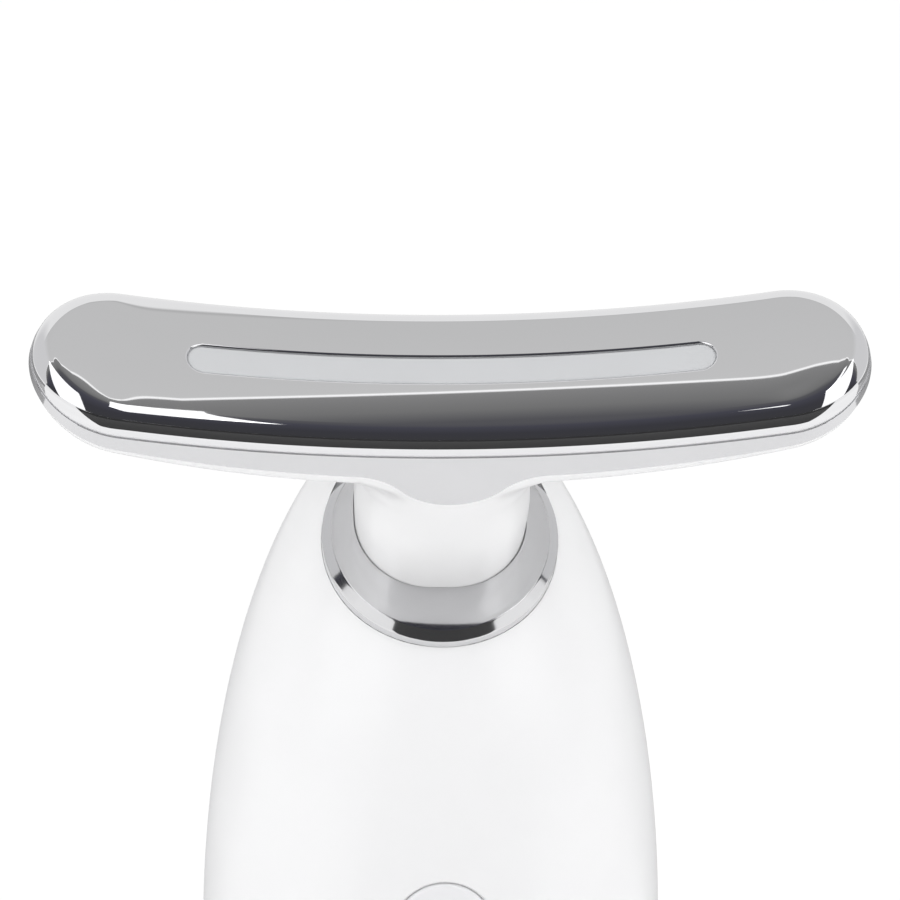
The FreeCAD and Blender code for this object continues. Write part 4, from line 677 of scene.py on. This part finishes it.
# %% Collar
neck_slant = np.cos(np.radians(COLLAR_TILT - NECK_TILT))
bore_x, bore_across = neck_loop(BORE_HALF_WIDTH + COLLAR_GAP, BORE_HALF_DEPTH + COLLAR_GAP,
                                NECK_CORNER + COLLAR_GAP)
bore_up = NECK_OFFSET + bore_across / neck_slant
bore_turn = np.arctan2(bore_up, bore_x)
collar_top = COLLAR_SINK + COLLAR_RISE


def collar_point(x, up, out):
    """World point of the collar's plane: sideways, uphill and out of the seat."""
    x, up, out = np.broadcast_arrays(x, up, out)
    return COLLAR_BASE + x[..., None] * SIDEWAYS + up[..., None] * COLLAR_UP + out[..., None] * COLLAR_OUT


COLLAR_SOFT, BORE_DROP, COLLAR_FOOT, WALL_SOFT, BEVEL_SOFT = 0.02, 0.12, 0.5, 0.08, 0.06
bevel_angle = np.arctan2(COLLAR_RISE - COLLAR_WALL, COLLAR_LAND - COLLAR_RADIUS)
edge_set = COLLAR_EDGE * np.tan((np.pi - bevel_angle) / 2)
edge_turn = np.linspace(bevel_angle - np.pi / 2, np.pi / 2, 9)
edge_r = COLLAR_LAND - edge_set + COLLAR_EDGE * np.cos(edge_turn)
edge_out = collar_top - COLLAR_EDGE + COLLAR_EDGE * np.sin(edge_turn)
wall_top = COLLAR_SINK + COLLAR_WALL
profile = [(COLLAR_RADIUS - COLLAR_FOOT, 0.0), (COLLAR_RADIUS - COLLAR_SOFT, 0.0),
           (COLLAR_RADIUS, COLLAR_SOFT), (COLLAR_RADIUS, COLLAR_SINK),
           (COLLAR_RADIUS, wall_top - WALL_SOFT), (COLLAR_RADIUS - COLLAR_SOFT, wall_top)]
profile += zip(np.linspace(COLLAR_RADIUS - BEVEL_SOFT, edge_r[0], 8),
               np.linspace(wall_top + BEVEL_SOFT, edge_out[0], 8))
profile += zip(edge_r[1:], edge_out[1:])
collar_rows = [collar_point(r * np.cos(bore_turn), r * np.sin(bore_turn), out) for r, out in profile]
land_x, land_up = edge_r[-1] * np.cos(bore_turn), edge_r[-1] * np.sin(bore_turn)
for share in np.linspace(0, 0.97, 8)[1:]:
    collar_rows.append(collar_point(land_x + (bore_x - land_x) * share,
                                    land_up + (bore_up - land_up) * share, collar_top))
collar_rows.append(collar_point(bore_x, bore_up, collar_top - BORE_DROP))
collar_rows.append(collar_point(bore_x, bore_up, 0.0))
collar_rows.append(collar_rows[0])
plated_collar = skin("plated_collar", [(np.stack(collar_rows), True)], "handle", ["collar_ring"],
                     COLLAR_BASE + COLLAR_OUT * 1.2, crease=30.0)

# %% [markdown]
# ## Finishes
# Each finish is a small tree of nodes on the piece's own coordinates. Glossy mouldings get a faint
# unevenness, plated parts a very slight ripple and fine polishing marks, and soft parts a matt grain.

# %% Finish helpers
BROAD_SCALE, BROAD_DETAIL, FINE_DETAIL, BUMP_HEIGHT = 120.0, 4.0, 3.0, 0.0002
TINT_FROM, TINT_TO = 0.35, 0.65


def finish(name, colour, rough, metal=0.0, vary=0.03, rough_vary=0.04, bump=0.02, bump_scale=900.0,
           stretch=(1, 1, 1), **sockets):
    """Principled shader with colour, roughness and bump varied by noise over Object coordinates."""
    material = bpy.data.materials.new(name)
    material.use_nodes = True
    nodes, links = material.node_tree.nodes, material.node_tree.links
    shader = nodes["Principled BSDF"]
    shader.inputs["Metallic"].default_value = metal
    for socket, value in sockets.items():
        shader.inputs[socket.replace("_", " ")].default_value = value
    place = nodes.new("ShaderNodeTexCoord")
    mapping = nodes.new("ShaderNodeMapping")
    mapping.inputs["Scale"].default_value = stretch
    links.new(place.outputs["Object"], mapping.inputs["Vector"])
    broad, fine = nodes.new("ShaderNodeTexNoise"), nodes.new("ShaderNodeTexNoise")
    for noise, scale, detail in ((broad, BROAD_SCALE, BROAD_DETAIL), (fine, bump_scale, FINE_DETAIL)):
        noise.inputs["Scale"].default_value = scale
        noise.inputs["Detail"].default_value = detail
        links.new(mapping.outputs["Vector"], noise.inputs["Vector"])
    tint = nodes.new("ShaderNodeValToRGB")
    darker, lighter = tint.color_ramp.elements
    darker.position, lighter.position = TINT_FROM, TINT_TO
    darker.color = [c * (1 - vary) for c in colour] + [1]
    lighter.color = [min(1, c * (1 + vary)) for c in colour] + [1]
    links.new(broad.outputs["Fac"], tint.inputs["Fac"])
    links.new(tint.outputs["Color"], shader.inputs["Base Color"])
    spread = nodes.new("ShaderNodeMapRange")
    spread.inputs["To Min"].default_value = max(0.0, rough - rough_vary)
    spread.inputs["To Max"].default_value = rough + rough_vary
    links.new(broad.outputs["Fac"], spread.inputs["Value"])
    links.new(spread.outputs["Result"], shader.inputs["Roughness"])
    relief = nodes.new("ShaderNodeBump")
    relief.inputs["Strength"].default_value = bump
    relief.inputs["Distance"].default_value = BUMP_HEIGHT
    links.new(fine.outputs["Fac"], relief.inputs["Height"])
    links.new(relief.outputs["Normal"], shader.inputs["Normal"])
    return material


def paint(material, *pieces):
    """Give pieces that finish, in place of whatever they came with."""
    for piece in pieces:
        piece.data.materials.clear()
        piece.data.materials.append(material)


# %% Outer finishes
gloss_white = finish("gloss_white", (0.90, 0.90, 0.90), 0.30, vary=0.006, rough_vary=0.03, bump=0.008,
                     bump_scale=500.0, Coat_Weight=0.25, Coat_Roughness=0.16)
button_gloss = finish("button_gloss", (0.86, 0.86, 0.87), 0.3, vary=0.01, bump=0.02)
mirror_plate = finish("mirror_plate", (0.80, 0.80, 0.81), 0.025, metal=1.0, vary=0.006, rough_vary=0.008,
                      bump=0.002, bump_scale=260.0, stretch=(0.25, 1, 1))
bright_trim = finish("bright_trim", (0.70, 0.70, 0.71), 0.08, metal=1.0, vary=0.01, rough_vary=0.03,
                     bump=0.006, bump_scale=300.0)
milky_window = finish("milky_window", (0.67, 0.68, 0.69), 0.22, vary=0.01, rough_vary=0.03, bump=0.01,
                      Coat_Weight=0.4)
soft_seal = finish("soft_seal", (0.72, 0.72, 0.73), 0.6, vary=0.06, rough_vary=0.1, bump=0.06)
paint(gloss_white, grip_front, grip_rear, head_moulding)
paint(button_gloss, power_button_cap)
paint(mirror_plate, polished_plate)
paint(bright_trim, plated_skirt, plated_collar)
paint(milky_window, light_window_cover)
paint(soft_seal, seal_ring)
outer_finishes = (gloss_white, button_gloss, mirror_plate, bright_trim, milky_window, soft_seal)
print("outer finishes", [material.name for material in outer_finishes])

# %% [markdown]
# ## Inner pieces
# The pieces inside keep their solid shapes. Each takes the colour of its slot in the record and a
# roughness and grain that suit its kind.

# %% Inner finishes
# Roughness, metal share and depth of the grain for each kind of material in the record.
KINDS = {"matte_plastic": (0.5, 0.0, 0.08), "rubber": (0.65, 0.0, 0.15), "brushed_steel": (0.3, 1.0, 0.05),
         "brass": (0.3, 1.0, 0.05), "chrome": (0.1, 1.0, 0.01), "gloss_plastic": (0.2, 0.0, 0.02),
         "glass": (0.2, 0.0, 0.01)}
record = frame["record"]
slot_rows = {row["slot"]: row for row in record["materials"]}
slot_finish = {}
for row in record["subparts"]:
    slot = row["material_slot"]
    if slot not in slot_finish:
        entry = slot_rows[slot]
        rough, metal, grain = KINDS[entry["class"]]
        slot_finish[slot] = finish("inner_" + slot, entry["base_color"][:3], rough, metal=metal, vary=0.06,
                                   bump=grain)
    paint(slot_finish[slot], frame["nodes"][row["node"]])
print("inner finishes", len(slot_finish))

# %% [markdown]
# ## Light and ground
# A mirror shows what stands round it, so the room matters as much as the lamps. The photograph's plate
# mirrors a grey ceiling with a bright edge, a dark room behind the camera and bright soft boxes at both
# sides, over a white table. The world carries the ceiling, the dark side and pale side walls by
# direction. Two ramps share the work, because one ramp is too coarse for the ceiling's thin edge.

# %% World
world = bpy.data.worlds.new("studio")
scene.world = world
world.use_nodes = True
nodes, links = world.node_tree.nodes, world.node_tree.links
nodes.clear()
output = nodes.new("ShaderNodeOutputWorld")
background = nodes.new("ShaderNodeBackground")
place = nodes.new("ShaderNodeTexCoord")
split = nodes.new("ShaderNodeSeparateXYZ")
links.new(place.outputs["Generated"], split.inputs["Vector"])


def sum_node(operation, *values):
    """One arithmetic node in the node tree at hand; each value is a number or another node's output."""
    node = nodes.new("ShaderNodeMath")
    node.operation = operation
    for socket, value in zip(node.inputs, values):
        if isinstance(value, (int, float)):
            socket.default_value = value
        else:
            links.new(value, socket)
    return node.outputs[0]


def band_ramp(bands, low, high):
    """Colour ramp of grey levels at given places between low and high; a third number adds blue."""
    ramp = nodes.new("ShaderNodeValToRGB")
    stops = ramp.color_ramp.elements
    for inner in bands[1:-1]:
        stops.new((inner[0] - low) / (high - low))
    for stop, (where, level, *blue) in zip(stops, bands):
        stop.position = (where - low) / (high - low)
        stop.color = (level, level, level + sum(blue), 1)
    return ramp


# Each band is a lean in degrees from straight up towards the camera, then its grey level.
ARCH, ARCH_MOST, NEAR, BEHIND = 0.9, 0.085, 30.0, 180.0
FRONT_GAIN = 10.0
NEAR_BANDS = [(-30, 0.93), (-18.4, 0.93), (-17.6, 0.50), (-16.6, 0.62), (7.8, 0.645), (8.0, 1.2), (8.4, 1.2),
              (8.6, 0.27), (14, 0.20), (17.5, 0.105, 0.01), (30, 0.07, 0.02)]
FAR_BANDS = [(30, 0.07, 0.02), (60, 0.05, 0.01), (92, 0.05, 0.005), (94, 0.5), (100, 0.9), (180, 0.93)]
SIDE_BANDS = [(0, 0.0), (0.42, 0.0), (0.62, 1.0), (1, 1.0)]
SIDE_WALL, SIDE_WALL_END = (0.72, 0.72, 0.73, 1), 7.6
across = split.outputs["X"]
forward = sum_node("MULTIPLY", split.outputs["Y"], -1.0)
arched = sum_node("MINIMUM", sum_node("MULTIPLY", sum_node("MULTIPLY", across, across), ARCH), ARCH_MOST)
in_front = sum_node("MULTIPLY", forward, FRONT_GAIN)
in_front.node.use_clamp = True
ahead = sum_node("SUBTRACT", forward, sum_node("MULTIPLY", arched, in_front))
lean = sum_node("MULTIPLY", sum_node("ARCTAN2", ahead, split.outputs["Z"]), 180 / np.pi)
near_room, far_room = band_ramp(NEAR_BANDS, -NEAR, NEAR), band_ramp(FAR_BANDS, NEAR, BEHIND)
links.new(sum_node("MULTIPLY_ADD", lean, 0.5 / NEAR, 0.5), near_room.inputs["Fac"])
far_span = BEHIND - NEAR
links.new(sum_node("MULTIPLY_ADD", lean, 1 / far_span, -NEAR / far_span), far_room.inputs["Fac"])


def blended(share, first, second):
    """Colour between two others by a share of the second; a colour is an output or four numbers."""
    mix = nodes.new("ShaderNodeMixRGB")
    for socket, value in zip(mix.inputs, (share, first, second)):
        if isinstance(value, tuple):
            socket.default_value = value
        else:
            links.new(value, socket)
    return mix.outputs["Color"]


is_far = sum_node("GREATER_THAN", lean, NEAR)
whole_room = blended(is_far, near_room.outputs["Color"], far_room.outputs["Color"])
side = band_ramp(SIDE_BANDS, 0, 1)
links.new(sum_node("ABSOLUTE", across), side.inputs["Fac"])
beside = sum_node("MULTIPLY", side.outputs["Color"], sum_node("LESS_THAN", lean, SIDE_WALL_END))
links.new(blended(beside, whole_room, SIDE_WALL), background.inputs["Color"])
links.new(background.outputs["Background"], output.inputs["Surface"])
print("world nodes", len(nodes))

# %% [markdown]
# ## Lamps
# Two tall soft boxes stand left and right in front and show as bright patches at the plate's ends. A
# long strip overhead draws the streak on the plate. Three fills lighten the white plastic, and mirrors
# do not show them.

# %% Lamps
def soft_box(name, place, size, power, aim_at):
    """Rectangular lamp at a place in millimetres, turned towards a point of the object."""
    data = bpy.data.lights.new(name, "AREA")
    data.shape = "RECTANGLE"
    data.size, data.size_y = size[0] * MM, size[1] * MM
    data.energy = power
    lamp = bpy.data.objects.new(name, data)
    scene.collection.objects.link(lamp)
    lamp.location = Vector(np.asarray(place) * MM)
    lamp.rotation_euler = Vector((np.asarray(aim_at) - place) * MM).to_track_quat("-Z", "Y").to_euler()
    return lamp


BOX_RISE, BOX_REACH, BOX_LEVEL, BOX_HEIGHT = np.radians(28.0), 490.0, 1.25, 532.0
head_front = HEAD_CENTRE + np.array([0, -10.0, 0])
for name, turn, width in (("left_box", -44.5, 370.0), ("right_box", 47.0, 320.0)):
    power = BOX_LEVEL * np.pi * width * BOX_HEIGHT * MM ** 2
    soft_box(name, head_front + toward(np.radians(turn), BOX_RISE) * BOX_REACH, (width, BOX_HEIGHT), power,
             head_front)
fills = (("front_fill", [0.0, -700.0, 110.0], (700, 500), 1.9),
         ("left_fill", [-600.0, -80.0, 150.0], (500, 500), 1.05),
         ("right_fill", [600.0, -80.0, 150.0], (500, 500), 1.05))
fill_aim = np.array([0, -10.0, 80.0])
for name, where, size, power in fills:
    soft_box(name, np.array(where), size, power, fill_aim).visible_glossy = False
strip_place = HEAD_CENTRE + np.array([202.0, -335.0, 600.0])
soft_box("strip_box", strip_place, (76, 295), 0.09, strip_place - np.array([0, 0, 1.0]))

# %% [markdown]
# ## Floor and cards
# The floor is plain and pale and takes the object's shadow. For rays from the camera, and for those that
# come by way of a mirror or a clear piece, it is mixed with plain white: two fifths near the object,
# where the shadow lies, and nine tenths further off. As in a photographer's studio, two cards lie on
# the floor to give the plated parts something dark to mirror, and only mirrors show them.

# %% Floor
FLOOR_HALF, FLOOR_GREY, PAPER_ROUGH = 6.0, 0.88, 0.9
SHADOW_FROM, SHADOW_TO = 0.07, 0.24
NEAR_WHITE, NEAR_SHARE, FAR_WHITE, FAR_SHARE = 1.35, 0.4, 1.07, 0.9
floor_mesh = bpy.data.meshes.new("floor")
corners = [(x * FLOOR_HALF, y * FLOOR_HALF, 0) for x, y in ((-1, -1), (1, -1), (1, 1), (-1, 1))]
floor_mesh.from_pydata(corners, [], [(0, 1, 2, 3)])
floor = bpy.data.objects.new("floor", floor_mesh)
scene.collection.objects.link(floor)


def matt(name, level):
    """Plain matt paper of one grey level."""
    paper = bpy.data.materials.new(name)
    paper.use_nodes = True
    shader = paper.node_tree.nodes["Principled BSDF"]
    shader.inputs["Base Color"].default_value = (level, level, level, 1)
    shader.inputs["Roughness"].default_value = PAPER_ROUGH
    return paper, shader


pale, shader = matt("pale_floor", FLOOR_GREY)
shader.inputs["Specular IOR Level"].default_value = 0.1
nodes, links = pale.node_tree.nodes, pale.node_tree.links
shown = nodes.new("ShaderNodeLightPath")
mirrored = sum_node("MAXIMUM", shown.outputs["Is Glossy Ray"], shown.outputs["Is Transmission Ray"])
seen = sum_node("MAXIMUM", shown.outputs["Is Camera Ray"], mirrored)
place, distance = nodes.new("ShaderNodeTexCoord"), nodes.new("ShaderNodeVectorMath")
distance.operation = "LENGTH"
links.new(place.outputs["Object"], distance.inputs[0])
away = nodes.new("ShaderNodeMapRange")
away.interpolation_type = "SMOOTHSTEP"
away.inputs["From Min"].default_value, away.inputs["From Max"].default_value = SHADOW_FROM, SHADOW_TO
links.new(distance.outputs["Value"], away.inputs["Value"])
far_off = away.outputs["Result"]
white, both = nodes.new("ShaderNodeEmission"), nodes.new("ShaderNodeMixShader")
white_level = sum_node("MULTIPLY_ADD", far_off, FAR_WHITE - NEAR_WHITE, NEAR_WHITE)
white_share = sum_node("MULTIPLY_ADD", far_off, FAR_SHARE - NEAR_SHARE, NEAR_SHARE)
links.new(white_level, white.inputs["Strength"])
links.new(sum_node("MULTIPLY", seen, white_share), both.inputs["Fac"])
links.new(shader.outputs["BSDF"], both.inputs[1])
links.new(white.outputs["Emission"], both.inputs[2])
links.new(both.outputs["Shader"], nodes["Material Output"].inputs["Surface"])
floor_mesh.materials.append(pale)
print("floor half size m", FLOOR_HALF)


# %% Dark cards
CARD_LIFT = 0.5
FRONT_CARD = [(-75, -120), (-1500, -1950), (-1500, -5900), (1500, -5900), (1500, -1340), (95, -120)]
REAR_CARD = [(-1500, 90), (1500, 90), (1500, 5900), (-1500, 5900)]


def dark_card(name, corners, paper):
    """Flat card just above the floor through corners in millimetres, seen only in reflections."""
    mesh = bpy.data.meshes.new(name)
    mesh.from_pydata([(x * MM, y * MM, CARD_LIFT * MM) for x, y in corners], [], [tuple(range(len(corners)))])
    mesh.materials.append(paper)
    card = bpy.data.objects.new(name, mesh)
    scene.collection.objects.link(card)
    card.visible_camera = card.visible_diffuse = False
    card.visible_shadow = card.visible_transmission = False


dark_card("front_card", FRONT_CARD, matt("card_ink", 0.04)[0])
dark_card("rear_card", REAR_CARD, matt("card_slate", 0.55)[0])
print("cards reach mm", FRONT_CARD[2][1], REAR_CARD[2][1])

# %% View settings
scene.view_settings.view_transform = "Standard"
bpy.context.view_layer.update()
